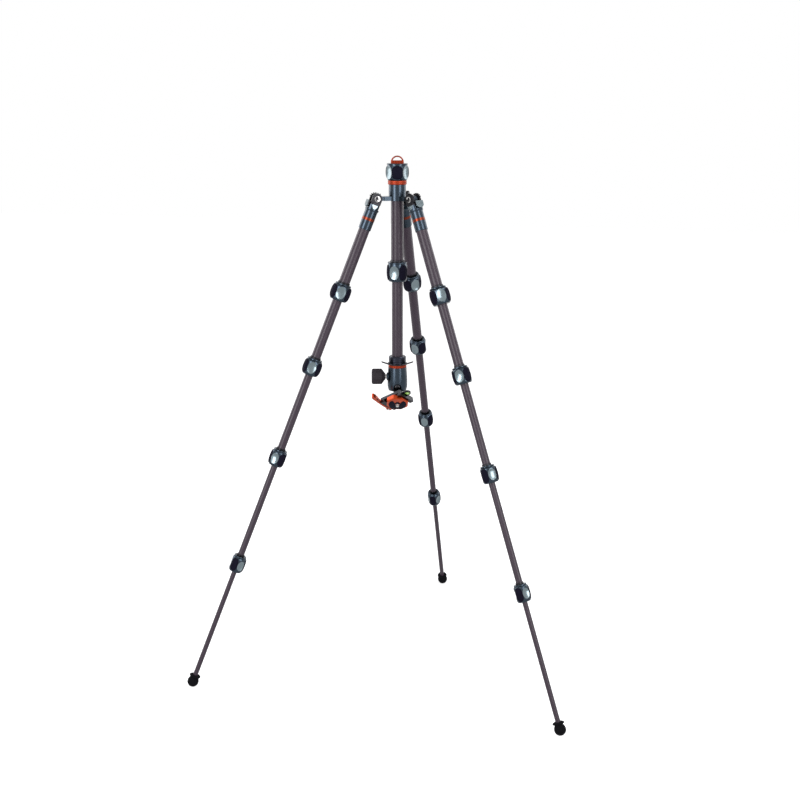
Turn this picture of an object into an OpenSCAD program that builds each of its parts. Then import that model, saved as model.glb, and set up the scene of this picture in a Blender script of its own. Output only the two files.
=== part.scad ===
// Travel tripod with five-section legs and an inverted ball head.
// Millimetres, +Z up, origin on the floor under the middle of the stand.
// The rear leg points along +Y, and the column axis lies a quarter of the
// foot circle's radius toward the front, so that the stand is centred.

/* [Stand] */
// Angle of each leg from the vertical
leg_angle = 22; // [18:1:26]
// Distance from the column axis to a leg hinge
hinge_r = 42.7; // [40:0.1:48]
// Turn of the column and head about the vertical
head_turn = 15; // [0:1:30]

/* [Leg tubes] */
// Outer diameter of the top leg section
leg_tube_d = 22; // [20:0.5:24]
// Step in diameter from one section to the next
tube_step = 3; // [2.4:0.1:3.4]
// Hinge to the middle of the first leg lock
upper_len = 193.3; // [150:0.1:230]
// Length of a section that stays inside the one above
tube_overlap = 30; // [24:1:40]

/* [Leg locks] */
// Diameter of the first leg lock over its pads
lock_d = 37; // [36:0.5:40]
// Step in diameter from one lock to the next
lock_step = 2.5; // [2:0.1:3]
// Height of a leg lock's collar
lock_h = 33.7; // [30:0.1:38]
// Height of the bare ferrule ring above a collar
ferrule_ring_h = 4; // [3:0.1:5]

/* [Leg shoulders] */
// Width of the shoulder across the hinge
shoulder_w = 24; // [22:0.5:28]
// Radius of the shoulder's ears round the hinge
ear_r = 10; // [9.5:0.1:11]
// Outer diameter of the shoulder's sleeve
sleeve_d = 24.9; // [24.6:0.1:27]
// Hinge to the lower end of the sleeve
sleeve_end = 63; // [55:1:75]
// Hinge to the middle of the accent ring
accent_s = 42; // [36:1:48]
// Width of the accent ring
accent_h = 5.4; // [4:0.1:7]

/* [Feet] */
// Diameter of a foot's ball
foot_d = 23; // [20:0.5:26]
// Height of a foot above the middle of its ball
foot_above = 15; // [12:0.5:20]

/* [Hub] */
// Outer diameter of the hub's collar
hub_d = 33.5; // [32.5:0.5:38]
// Top of the hub's collar above the hinges
hub_top = 26.5; // [22:0.5:30]
// Thickness of a hub arm
arm_t = 8.2; // [7:0.1:10]
// Width of a hub arm's tongue
tongue_w = 14; // [12:0.5:16]
// Diameter of the column bush's orange flange
flange_d = 36.6; // [34:0.1:40]
// Height of that flange
flange_h = 8; // [6:0.5:10]
// Diameter of the column's lock knob over its pads
knob_d = 45.2; // [42:0.2:47]
// Height of that knob
knob_h = 32; // [28:0.5:36]

/* [Column] */
// Outer diameter of the upper column tube
column_d = 25; // [24:0.5:26]
// Hinge level down to the middle of the column lock
column_lock_drop = 143; // [120:1:170]
// Diameter of the column lock over its pads
column_lock_d = 42.6; // [41:0.2:46]
// Height of the column lock
column_lock_h = 38; // [34:0.5:42]
// Hinge level down to the guard plate
guard_drop = 330; // [300:1:360]
// Diameter of the mounting platform
platform_d = 34.7; // [32:0.1:38]
// Height of the mounting platform
platform_h = 16; // [13:0.5:20]
// Width of the bag hook's loop
hook_w = 25; // [22:0.5:28]
// Radius of the bag hook's wire
hook_wire_r = 1.4; // [1.1:0.1:2]

/* [Ball head] */
// Reach of the guard plate's three lobes from the axis
guard_r = 36; // [33:0.5:42]
// Thickness of the guard plate
guard_t = 1.6; // [1.2:0.1:2.4]
// Rise of the lobes toward the legs
guard_rise = 23; // [10:1:30]
// Diameter of the orange pan base
pan_d = 36.6; // [35:0.1:40]
// Height of the pan base
pan_h = 5; // [4:0.1:7]
// Largest diameter of the ball housing
housing_d = 40.2; // [39:0.2:44]
// Height of the ball housing
housing_h = 47.5; // [45:0.5:50]
// Diameter of the ball
ball_d = 30; // [28:0.5:31]
// Tilt of the ball's neck from straight down
ball_tilt = 44; // [0:1:45]
// Turn of the clamp about the ball's neck
clamp_turn = 48; // [0:1:90]
// Diameter of the ball lock knob
ball_knob_d = 31.6; // [28:0.2:34]
// Column axis to the outer face of that knob
ball_knob_reach = 52; // [46:0.5:56]

/* [Clamp and plate] */
// Ball centre to the camera plate's face
plate_face = 43.5; // [42:0.5:48]
// Length of the camera plate along the jaws
plate_l = 43; // [38:0.5:50]
// Width of the camera plate's slab
plate_w = 42; // [40:0.5:46]
// Thickness of the camera plate's slab
slab_t = 4.7; // [4:0.1:6]
// Width of the dovetail at its foot
dove_w = 38; // [36:0.5:39]
// Height of the dovetail
dove_h = 5.5; // [5:0.1:6]
// Length of the clamp along its jaws
clamp_l = 40; // [36:0.5:46]
// Length of the clamp lever from its pivot
lever_l = 60; // [50:1:66]
// Diameter of the camera screw's thread
screw_d = 6.35; // [6.35:0.1:9.5]
// Length of the camera screw above the plate
screw_out = 5.2; // [4:0.1:7]

/* [Hidden] */
$fn = 72;

// Gaps shared by many pieces
slide_gap = 0.3;
run_gap = 0.15;
pin_gap = 0.08;
glue_gap = 0.05;
cut = 1;

// Colours
anodised = [0.28, 0.35, 0.40];
carbon = [0.22, 0.18, 0.20];
orange = [0.85, 0.33, 0.12];
rubber = [0.08, 0.08, 0.10];
dark = [0.13, 0.14, 0.16];
steel = [0.80, 0.81, 0.82];
nylon = [0.10, 0.10, 0.11];
spirit = [0.45, 0.65, 0.20];

// Leg sections, counted from 1 at the top
tube_wall = tube_step / 2 - slide_gap;
plug_s = 40;
plug_gap = 3.5;
lock_pitch = lock_h + ferrule_ring_h + slide_gap;
foot_fold_gap = 2.2;
foot_r = foot_d / 2;
function tube_r(n) = (leg_tube_d - (n - 1) * tube_step) / 2;
function lock_r(n) = (lock_d - (n - 1) * lock_step) / 2;
function draw(n) = upper_len - tube_overlap - plug_s - plug_gap + (n - 2) * lock_pitch;
function lock_s(n) = n == 1 ? upper_len : lock_s(n - 1) + draw(n) + lock_pitch;
foot_s = lock_s(4) + draw(5) + lock_h / 2 + foot_fold_gap + foot_above;

// Places of the stand
leg_azimuths = [90, 210, 330];
hinge_h = foot_s * cos(leg_angle) + foot_r;
foot_circle_r = hinge_r + foot_s * sin(leg_angle);
column_y = -foot_circle_r / 4;

// Locks: outline of a grip as shares of its radius and height, hub end first
grip_outline_shares = [[0.86, -0.5], [0.96, -0.47], [0.96, -0.42], [0.87, -0.39],
    [0.91, -0.3], [0.94, -0.12], [0.94, 0.12], [0.9, 0.34], [0.84, 0.45], [0.78, 0.5]];
pad_outline_shares = [[0.5, -0.38], [0.93, -0.36], [0.985, -0.2], [1, 0],
    [0.985, 0.2], [0.93, 0.36], [0.5, 0.38]];
pad_w_share = 0.48;
pad_h_share = 0.37;
pad_seat_share = 0.84;
pad_sides = 28;
scoop_depth_share = 0.11;
scoop_r_share = 1.15;
lock_turn = 30;
ferrule_wall = 2;
ferrule_end = 2;
wedge_wall = 1.6;
wedge_h = 11;
wedge_slit = 1.2;
lock_lip = 2.5;

// Shoulders and latches
tongue_r = 7.5;
bolt_r = 3;
bolt_head_r = 5;
bolt_head_t = 1.6;
bolt_key_r = 2.2;
bolt_key_depth = 0.9;
slot_s = 8.2;
block_s = 20;
block_round_r = 14;
neck_s = 26;
ring_groove = 0.6;
ring_proud = 0.2;
latch_w = 11;
latch_t = 3.6;
latch_top = 9.5;
latch_len = 13;
latch_travel = 4;
latch_tongue_w = 6;
latch_tongue_in = 4.5;
latch_nose = 3;
serration = 0.6;
serrations = 4;

// Hub
hub_bottom = -arm_t / 2;
bush_wall = 1.6;
bush_foot = -2.8;
root_w = 18;
root_end_share = 0.66;
collet_wall = 2.4;
collet_slit = 1.4;
knob_lip = 5;
knob_bottom = hub_top + flange_h + run_gap;
knob_top = knob_bottom + knob_h;

// Column and hook
column_r = column_d / 2;
inner_r = column_r - tube_step / 2;
plug_t = 3;
plug_deep = 8;
hook_pin_r = 3;
hook_base_t = 5.6;
hook_base_w = 9;
hook_pits = 4;
hook_pit_r = 1.3;
hook_rise = 2.2;
platform_bore_gap = 0.1;
platform_neck_h = 4;
stud_r = 4.76;
stud_l = 12;

// Head, measured down from the guard plate
guard_z = -guard_drop;
guard_hub_r = 17.4;
guard_lobe_r = 8;
guard_root_w = 24;
guard_corner_sides = 12;
pan_z = guard_z - guard_t / 2 - pan_h;
spigot_r = 10;
spigot_h = 8;
pan_grips = 30;
pan_grip_r = 0.5;
housing_top = pan_z - run_gap;
mouth_below = 8;
ball_r = ball_d / 2;
ball_gap = 0.2;
ball_z = housing_top - housing_h + mouth_below;
mouth_rim_below = 5;
mouth_flare = 3.2;
housing_neck_share = 0.92;
housing_mouth_share = 0.9;
notch_r = 7.7;
neck_r = 4.5;
neck_flare_r = 9;
neck_straight = 20.5;
neck_top = 23;
knob_rise = 19.5;
knob_boss_r = 8;
knob_boss_reach = 21.6;
knob_shaft_r = 4;
knob_shaft_in = 15;
knob_cone_from = 24.6;
knob_cone_to = 31;
knob_cone_r = 7;
knob_rim = 2;

// Clamp
clamp_base_r = 11;
clamp_bottom = neck_top + run_gap;
dove_lip = 2.6;
dove_edge = 1.3;
dove_gap = 0.15;
dove_foot = plate_face - slab_t - dove_h;
floor_z = dove_foot - dove_gap;
jaw_top = plate_face - slab_t - slide_gap;
jaw_w = 6;
fixed_jaw_y = dove_w / 2 + jaw_w;
body_t = 6.2;
split_y = dove_w / 2 + 2;
jaw_skirt = 3.5;
guide_r = 2;
guide_l = 9;
guide_x_share = 0.32;
ear_w = 14;
ear_reach = 35;
ear_t = 4;
bubble_r = 4.6;
bubble_x = -3;
bubble_y = 29.4;
bubble_h = 2.4;
lug_r = 6.5;
lug_t = 3.6;
pivot_x = 12;
pin_r = 2.4;
cam_r = 6;
cam_throw = 1.5;
cam_gap = 0.4;
lever_t = 4.6;
lever_low = 27.8;
lever_high = 36.6;
tip_r = 5;
corner_r = 4;
pad_strip_w = 8;
pad_strip_l_share = 0.8;
pad_strip_y_share = 0.3;
pad_strip_t = 0.7;
pad_strip_sink = 0.4;
screw_head_r = 6.5;
screw_head_t = 3;
screw_relief = 0.9;
screw_thread = 0.5;

jaw_back_y = split_y + run_gap + jaw_w + run_gap;
pivot_y = jaw_back_y + cam_gap + cam_r + cam_throw;

// Frames

// Down one leg: +Z along the leg from its hinge, -X on its outer side.
module on_leg(leg) {
    translate([0, column_y, hinge_h]) rotate([0, 0, leg_azimuths[leg - 1]])
        translate([hinge_r, 0, 0]) rotate([0, 180 - leg_angle, 0]) children();
}

// The hub: hinge level on the column axis.
module on_hub() {
    translate([0, column_y, hinge_h]) children();
}

// The column: as the hub, turned with the head.
module on_column() {
    on_hub() rotate([0, 0, head_turn]) children();
}

// Down the column: +Z from the hinge level toward the floor.
module down_column() {
    on_column() rotate([180, 0, 0]) children();
}

// The ball: +Z out along its neck, +Y up across the camera plate.
module on_ball() {
    on_column() translate([0, 0, ball_z]) rotate([180 - ball_tilt, 0, 0]) children();
}

// The clamp: +X along the jaws, +Y toward the fixed jaw.
module on_clamp() {
    on_ball() rotate([0, 0, -clamp_turn]) children();
}

// Shared shapes

// A plain ring between two radii and two heights.
module ring(outer, inner, from, to) {
    difference() {
        translate([0, 0, from]) cylinder(h = to - from, r = outer);
        translate([0, 0, from - cut]) cylinder(h = to - from + 2 * cut, r = inner);
    }
}

// A solid of revolution from shares of a radius and a height.
module turned(shares, r, h) {
    rotate_extrude() polygon([
        [0, shares[0][1] * h],
        for (p = shares) [p[0] * r, p[1] * h],
        [0, shares[len(shares) - 1][1] * h]
    ]);
}

// An upright oval prism that points out along +X.
module oval(r, h, grow) {
    rotate([90, 0, 90]) linear_extrude(height = 2 * r) polygon([
        for (i = [0:pad_sides - 1]) let (a = 360 * i / pad_sides)
            [(pad_w_share * r + grow) * cos(a), (pad_h_share * h + grow) * sin(a)]
    ]);
}

// The metal of a grip: a barrel with three scoops and three pad seats.
module grip_metal(r, h) {
    difference() {
        turned(grip_outline_shares, r, h);
        for (i = [0:2]) {
            rotate([0, 0, 120 * i + 60 + lock_turn])
                translate([r + (scoop_r_share - 2 * scoop_depth_share) * r, 0, 0])
                    sphere(r = scoop_r_share * r);
            rotate([0, 0, 120 * i + lock_turn])
                translate([pad_seat_share * r, 0, 0]) oval(r, h, glue_gap);
        }
    }
}

// The three rubber pads of a grip.
module grip_pads(r, h) {
    for (i = [0:2])
        rotate([0, 0, 120 * i + lock_turn]) intersection() {
            turned(pad_outline_shares, r, h);
            translate([pad_seat_share * r + glue_gap, 0, 0]) oval(r, h, 0);
        }
}

// A twist lock's collar over an outer tube and an inner one, centred on zero.
module twist_collar(r, h, outer, inner) {
    ferrule_bore = outer + glue_gap + ferrule_wall + slide_gap;
    wedge_bore = inner + slide_gap + wedge_wall + slide_gap;
    color(anodised) difference() {
        grip_metal(r, h);
        translate([0, 0, -h / 2 - cut]) cylinder(h = h / 2 + cut, r = ferrule_bore);
        translate([0, 0, -cut]) cylinder(h = h / 2 + cut - lock_lip, r = wedge_bore);
        translate([0, 0, -cut]) cylinder(h = h + 2 * cut, r = inner + slide_gap);
    }
    color(rubber) grip_pads(r, h);
}

// A tube's end at a twist lock: threaded ferrule with its ring, and split wedge.
module lock_end(h, outer, inner) {
    ferrule_r = outer + glue_gap + ferrule_wall;
    color(dark) {
        ring(ferrule_r, outer + glue_gap, -h / 2 - run_gap - ferrule_wall, -ferrule_end);
        ring(ferrule_r + ferrule_wall / 2, outer + glue_gap,
            -h / 2 - ferrule_ring_h, -h / 2 - run_gap);
    }
    color(nylon) difference() {
        ring(inner + slide_gap + wedge_wall, inner + slide_gap, -ferrule_end + run_gap,
            wedge_h);
        translate([0, -wedge_slit / 2, -ferrule_end])
            cube([outer + ferrule_wall, wedge_slit, wedge_h + ferrule_end + cut]);
    }
}

// Hub and column

module hub() {
    bush_r = column_r + pin_gap + bush_wall;
    arm_w = tongue_w - 2 * run_gap;
    color(anodised) on_hub() difference() {
        union() {
            translate([0, 0, hub_bottom - run_gap])
                cylinder(h = hub_top - hub_bottom + run_gap, r = hub_d / 2);
            translate([0, 0, hub_bottom]) linear_extrude(height = arm_t) {
                circle(r = hub_d / 2 - run_gap);
                for (azimuth = leg_azimuths) rotate(azimuth) {
                    translate([0, -arm_w / 2]) square([hinge_r, arm_w]);
                    translate([0, -root_w / 2]) square([hinge_r * root_end_share, root_w]);
                }
            }
            for (azimuth = leg_azimuths) rotate([0, 0, azimuth])
                translate([hinge_r, tongue_w / 2, 0]) rotate([90, 0, 0])
                    cylinder(h = tongue_w, r = tongue_r);
        }
        translate([0, 0, hub_bottom - cut])
            cylinder(h = hub_top - hub_bottom + 2 * cut, r = bush_r + pin_gap);
        for (azimuth = leg_azimuths) rotate([0, 0, azimuth])
            translate([hinge_r, tongue_w / 2 + cut, 0]) rotate([90, 0, 0])
                cylinder(h = tongue_w + 2 * cut, r = bolt_r + glue_gap);
    }
}

module hinge_bolts() {
    half = shoulder_w / 2 + run_gap;
    color(steel) on_hub() for (azimuth = leg_azimuths) rotate([0, 0, azimuth])
        translate([hinge_r, 0, 0]) rotate([90, 0, 0]) difference() {
            union() {
                translate([0, 0, -half]) cylinder(h = 2 * half, r = bolt_r);
                for (side = [-1, 1]) translate([0, 0, side * (half + bolt_head_t / 2)])
                    cylinder(h = bolt_head_t, r = bolt_head_r, center = true);
            }
            for (side = [-1, 1]) translate([0, 0, side * (half + bolt_head_t)])
                cylinder(h = 2 * bolt_key_depth, r = bolt_key_r, center = true, $fn = 6);
        }
}

module column_bush() {
    bore = column_r + pin_gap;
    color(orange) on_column() difference() {
        union() {
            ring(bore + bush_wall, bore, bush_foot, hub_top + flange_h / 2);
            ring(flange_d / 2, bore, hub_top + run_gap, hub_top + flange_h);
            ring(bore + collet_wall, bore, hub_top + flange_h / 2, knob_top - knob_lip - cut);
        }
        for (i = [0:2]) rotate([0, 0, 120 * i])
            translate([0, -collet_slit / 2, hub_top + flange_h + collet_wall])
                cube([column_d, collet_slit, knob_h]);
    }
}

module hub_lock_knob() {
    on_column() translate([0, 0, knob_bottom + knob_h / 2]) rotate([180, 0, 0]) {
        color(anodised) difference() {
            grip_metal(knob_d / 2, knob_h);
            translate([0, 0, -knob_h / 2 + knob_lip])
                cylinder(h = knob_h, r = column_r + pin_gap + collet_wall + slide_gap);
            cylinder(h = 2 * knob_h, r = column_r + slide_gap, center = true);
        }
        color(rubber) grip_pads(knob_d / 2, knob_h);
    }
}

module column_outer_tube() {
    on_column() {
        color(carbon) ring(column_r, inner_r + slide_gap,
            -column_lock_drop + ferrule_end, knob_top - plug_t);
        color(anodised) {
            translate([0, 0, knob_top - plug_t]) cylinder(h = plug_t, r = column_r);
            translate([0, 0, knob_top - plug_t - plug_deep])
                cylinder(h = plug_deep, r = inner_r + slide_gap - glue_gap);
            translate([0, 0, knob_top])
                cylinder(h = run_gap + hook_base_t * 2 / 3, r = hook_pin_r);
        }
    }
    down_column() translate([0, 0, column_lock_drop])
        lock_end(column_lock_h, column_r, inner_r);
}

module bag_hook() {
    base = knob_top + run_gap;
    loop_r = hook_w / 2 - hook_wire_r;
    color(orange) on_column() difference() {
        union() {
            translate([0, 0, base]) intersection() {
                cylinder(h = hook_base_t, r = hook_w / 2);
                translate([-hook_w, -hook_base_w / 2, 0])
                    cube([2 * hook_w, hook_base_w, hook_base_t]);
            }
            translate([0, 0, base + hook_rise]) rotate([90, 0, 0])
                rotate_extrude() translate([loop_r, 0]) circle(r = hook_wire_r);
        }
        translate([-hook_w, -hook_w, base - hook_w]) cube([2 * hook_w, 2 * hook_w, hook_w]);
        translate([0, 0, base - cut])
            cylinder(h = cut + hook_base_t * 3 / 4, r = hook_pin_r + pin_gap);
        for (i = [0:hook_pits - 1])
            translate([(i + 1 / 2 - hook_pits / 2) * hook_w / (hook_pits + 1), 0,
                base + hook_base_t / 2])
                rotate([90, 0, 0]) translate([0, 0, hook_base_w / 2 - hook_pit_r])
                    cylinder(h = hook_base_w, r = hook_pit_r);
    }
}

module column_lock() {
    down_column() translate([0, 0, column_lock_drop])
        twist_collar(column_lock_d / 2, column_lock_h, column_r, inner_r);
}

module column_inner_tube() {
    color(carbon) on_column() ring(inner_r, inner_r - tube_wall,
        guard_z + guard_t / 2 + platform_neck_h, -column_lock_drop + tube_overlap);
}

module mounting_platform() {
    foot = guard_z + guard_t / 2;
    color(anodised) on_column() difference() {
        union() {
            translate([0, 0, foot]) cylinder(h = platform_h - guard_t, r = platform_d / 2);
            translate([0, 0, foot + platform_h - guard_t])
                cylinder(h = guard_t, r1 = platform_d / 2, r2 = platform_d / 2 - guard_t);
            translate([0, 0, foot - stud_l]) cylinder(h = stud_l + cut, r = stud_r);
        }
        translate([0, 0, foot + platform_neck_h])
            cylinder(h = platform_h, r = inner_r + glue_gap);
    }
}

// One raised lobe of the guard plate: straight sides and a round end.
module guard_lobe(bend) {
    reach = (guard_r - bend) / cos(guard_rise) - guard_lobe_r;
    linear_extrude(height = guard_t) polygon([
        [0, run_gap - guard_root_w / 2],
        for (i = [0:guard_corner_sides])
            let (a = -90 + 180 * i / guard_corner_sides)
                [reach + guard_lobe_r * cos(a), guard_lobe_r * sin(a)],
        [0, guard_root_w / 2 - run_gap]
    ]);
}

module guard_plate() {
    bend = guard_hub_r + guard_t;
    color(dark) on_column() translate([0, 0, guard_z - guard_t / 2]) difference() {
        union() {
            linear_extrude(height = guard_t) {
                circle(r = guard_hub_r);
                for (i = [0:2]) rotate(90 + 120 * i)
                    translate([0, -guard_root_w / 2]) square([bend, guard_root_w]);
            }
            for (i = [0:2]) rotate([0, 0, 90 + 120 * i])
                translate([bend - run_gap, 0, run_gap]) rotate([0, -guard_rise, 0])
                    guard_lobe(bend);
        }
        translate([0, 0, -cut]) cylinder(h = guard_t + 2 * cut, r = stud_r + platform_bore_gap);
    }
}

// Ball head

module head_base() {
    color(orange) on_column() difference() {
        union() {
            translate([0, 0, pan_z]) cylinder(h = pan_h, r = pan_d / 2);
            translate([0, 0, pan_z - spigot_h]) cylinder(h = spigot_h + cut, r = spigot_r);
        }
        translate([0, 0, pan_z - spigot_h - cut])
            cylinder(h = pan_h + spigot_h + 2 * cut, r = stud_r + platform_bore_gap);
        for (i = [0:pan_grips - 1]) rotate([0, 0, 360 * i / pan_grips])
            translate([pan_d / 2, 0, pan_z - cut])
                cylinder(h = pan_h + 2 * cut, r = pan_grip_r, $fn = 24);
    }
}

module head_housing() {
    big_r = housing_d / 2;
    low = housing_top - housing_h;
    rim_r = sqrt(pow(ball_r + ball_gap, 2) - pow(mouth_rim_below, 2));
    flare = mouth_flare / (mouth_below - mouth_rim_below);
    color(anodised) on_column() difference() {
        union() {
            rotate_extrude() polygon([
                [0, housing_top],
                [big_r * housing_neck_share, housing_top],
                [big_r, ball_z + ball_r],
                [big_r, ball_z],
                [big_r * housing_mouth_share, low],
                [0, low]
            ]);
            translate([0, 0, ball_z + knob_rise]) rotate([0, -90, 0])
                cylinder(h = knob_boss_reach, r = knob_boss_r);
        }
        translate([0, 0, housing_top - spigot_h - slide_gap])
            cylinder(h = spigot_h + slide_gap + cut, r = spigot_r + pin_gap);
        translate([0, 0, ball_z]) sphere(r = ball_r + ball_gap);
        rotate_extrude() polygon([
            [0, ball_z - mouth_rim_below / 2],
            [rim_r - flare * mouth_rim_below / 2, ball_z - mouth_rim_below / 2],
            [rim_r + flare * (mouth_below - mouth_rim_below + cut), low - cut],
            [0, low - cut]
        ]);
        translate([0, 0, ball_z]) rotate([90, 0, 0]) cylinder(h = housing_d, r = notch_r);
        translate([glue_gap - notch_r, -housing_d, low - cut])
            cube([2 * (notch_r - glue_gap), housing_d, mouth_below + cut]);
        translate([0, 0, ball_z + knob_rise]) rotate([0, -90, 0])
            cylinder(h = housing_d, r = knob_shaft_r + pin_gap);
    }
}

module head_lock_knob() {
    r = ball_knob_d / 2;
    on_column() translate([0, 0, ball_z + knob_rise]) rotate([0, -90, 0]) {
        color(steel) translate([0, 0, knob_shaft_in])
            cylinder(h = knob_cone_from - knob_shaft_in, r = knob_shaft_r);
        color(rubber) rotate_extrude() polygon([
            [0, knob_cone_from],
            [knob_cone_r, knob_cone_from],
            [r, knob_cone_to],
            [r, ball_knob_reach - knob_rim],
            [r - knob_rim, ball_knob_reach],
            [0, ball_knob_reach]
        ]);
    }
}

module head_ball() {
    color(steel) on_ball() sphere(r = ball_r);
}

module ball_neck() {
    color(dark) on_ball() difference() {
        rotate_extrude() polygon([
            [0, 0],
            [neck_r, 0],
            [neck_r, neck_straight],
            [neck_flare_r, neck_top],
            [0, neck_top]
        ]);
        sphere(r = ball_r + run_gap);
    }
}

// Clamp and camera plate

// Half of the dovetail channel's wall, from the floor up, in Y and Z.
function jaw_face(y) = [
    [y, floor_z],
    [y, dove_foot + dove_edge],
    [y - dove_lip, dove_foot + dove_edge + dove_lip],
    [y - dove_lip, jaw_top]
];

// A bar along the jaws from an outline in Y and Z.
module jaw_bar(length, points) {
    translate([-length / 2, 0, 0]) rotate([90, 0, 90])
        linear_extrude(height = length) polygon(points);
}

module clamp_body() {
    y = dove_w / 2 + dove_gap;
    color(dark) on_clamp() difference() {
        union() {
            translate([0, 0, clamp_bottom])
                cylinder(h = floor_z - body_t / 2 - clamp_bottom, r = clamp_base_r);
            jaw_bar(clamp_l, concat(
                [[-split_y, floor_z], [-split_y, floor_z - body_t],
                    [fixed_jaw_y - jaw_w / 3, floor_z - body_t], [fixed_jaw_y, floor_z],
                    [fixed_jaw_y, jaw_top - run_gap], [fixed_jaw_y - run_gap, jaw_top]],
                [for (i = [3:-1:0]) jaw_face(y)[i]]));
            translate([bubble_x, 0, floor_z - body_t]) {
                translate([-ear_w / 2, 0, 0]) cube([ear_w, bubble_y, ear_t]);
                translate([0, bubble_y, 0]) cylinder(h = ear_t, r = ear_w / 2 - run_gap);
            }
            translate([pivot_x - lug_r, -pivot_y, clamp_bottom])
                cube([2 * lug_r, pivot_y, lug_t]);
            translate([pivot_x, -pivot_y, clamp_bottom]) cylinder(h = lug_t, r = lug_r);
            translate([pivot_x, -pivot_y, clamp_bottom])
                cylinder(h = lever_high - clamp_bottom, r = pin_r);
        }
        translate([bubble_x, bubble_y, floor_z - body_t + ear_t - bubble_h / 2])
            cylinder(h = bubble_h + cut, r = bubble_r + glue_gap);
        for (side = [-1, 1])
            translate([side * guide_x_share * clamp_l, -split_y - cut, floor_z - body_t / 2])
                rotate([-90, 0, 0]) cylinder(h = guide_l + 2 * cut, r = guide_r + pin_gap);
    }
}

module bubble_level() {
    color(spirit) on_clamp()
        translate([bubble_x, bubble_y, floor_z - body_t + ear_t - bubble_h / 2 + glue_gap])
            cylinder(h = bubble_h, r = bubble_r);
}

module clamp_jaw() {
    y = dove_w / 2 + dove_gap;
    front = split_y + run_gap;
    low = clamp_bottom + lug_t + run_gap;
    color(dark) on_clamp() {
        mirror([0, 1, 0]) jaw_bar(clamp_l, [
            [front, floor_z + run_gap],
            [y, floor_z + run_gap],
            for (i = [1:3]) jaw_face(y)[i],
            [jaw_back_y - run_gap, jaw_top],
            [jaw_back_y, jaw_top - run_gap],
            [jaw_back_y, low],
            [front, low]
        ]);
        for (side = [-1, 1])
            translate([side * guide_x_share * clamp_l, -front - cut, floor_z - body_t / 2])
                rotate([-90, 0, 0]) cylinder(h = guide_l + cut, r = guide_r);
    }
}

module clamp_lever() {
    bend_share = 0.62;
    drift = 3.5;
    color(orange) on_clamp() translate([pivot_x, -pivot_y, lever_low]) difference() {
        union() {
            translate([0, cam_throw, 0]) cylinder(h = lever_high - lever_low, r = cam_r);
            linear_extrude(height = lever_high - lever_low) polygon([
                [0, cam_throw + cam_r / 2],
                [-lever_l * bend_share, cam_throw + lever_t / 2],
                [-lever_l + tip_r, drift + tip_r / 2],
                [-lever_l, drift],
                [-lever_l + tip_r / 2, drift - tip_r / 2],
                [-lever_l * bend_share, cam_throw - lever_t / 2],
                [0, cam_throw - cam_r / 2]
            ]);
        }
        translate([0, 0, -cut])
            cylinder(h = lever_high - lever_low + 2 * cut, r = pin_r + pin_gap);
    }
}

module camera_plate() {
    half = dove_w / 2;
    slab = plate_face - slab_t;
    color(orange) on_clamp() difference() {
        union() {
            jaw_bar(plate_l, [
                [-half, dove_foot], [half, dove_foot],
                [half, dove_foot + dove_edge],
                [half - dove_lip, dove_foot + dove_edge + dove_lip],
                [half - dove_lip, slab + cut], [dove_lip - half, slab + cut],
                [dove_lip - half, dove_foot + dove_edge + dove_lip],
                [-half, dove_foot + dove_edge]
            ]);
            translate([0, 0, slab]) linear_extrude(height = slab_t) square_plate();
        }
        translate([0, 0, dove_foot - cut])
            cylinder(h = screw_head_t + 2 * cut, r = screw_head_r + slide_gap);
        cylinder(h = plate_face + cut, r = screw_d / 2 + pin_gap);
        for (side = [-1, 1]) translate([0, side * pad_strip_y_share * plate_w, plate_face])
            cube([plate_l * pad_strip_l_share, pad_strip_w, 2 * pad_strip_sink], center = true);
    }
    color(rubber) on_clamp() for (side = [-1, 1])
        translate([0, side * pad_strip_y_share * plate_w,
            plate_face - pad_strip_sink + glue_gap + pad_strip_t / 2])
            cube([plate_l * pad_strip_l_share - 2 * glue_gap, pad_strip_w - 2 * glue_gap,
                pad_strip_t], center = true);
}

// The slab's outline with round corners.
module square_plate() {
    x = plate_l / 2 - corner_r;
    y = plate_w / 2 - corner_r;
    square([2 * x, plate_w], center = true);
    square([plate_l, 2 * y], center = true);
    for (i = [-1, 1], j = [-1, 1]) translate([i * x, j * y]) circle(r = corner_r);
}

module camera_screw() {
    head = dove_foot + cut - pin_gap;
    color(steel) on_clamp() difference() {
        union() {
            translate([0, 0, head - screw_relief])
                cylinder(h = screw_head_t, r = screw_head_r);
            translate([0, 0, head])
                cylinder(h = plate_face - head + cut, r = screw_d / 2 - screw_thread);
            translate([0, 0, plate_face]) cylinder(h = screw_out, r = screw_d / 2);
        }
        translate([0, 0, head - screw_relief])
            cube([2 * screw_head_r, screw_relief, 2 * screw_relief], center = true);
    }
}

// Legs

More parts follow.
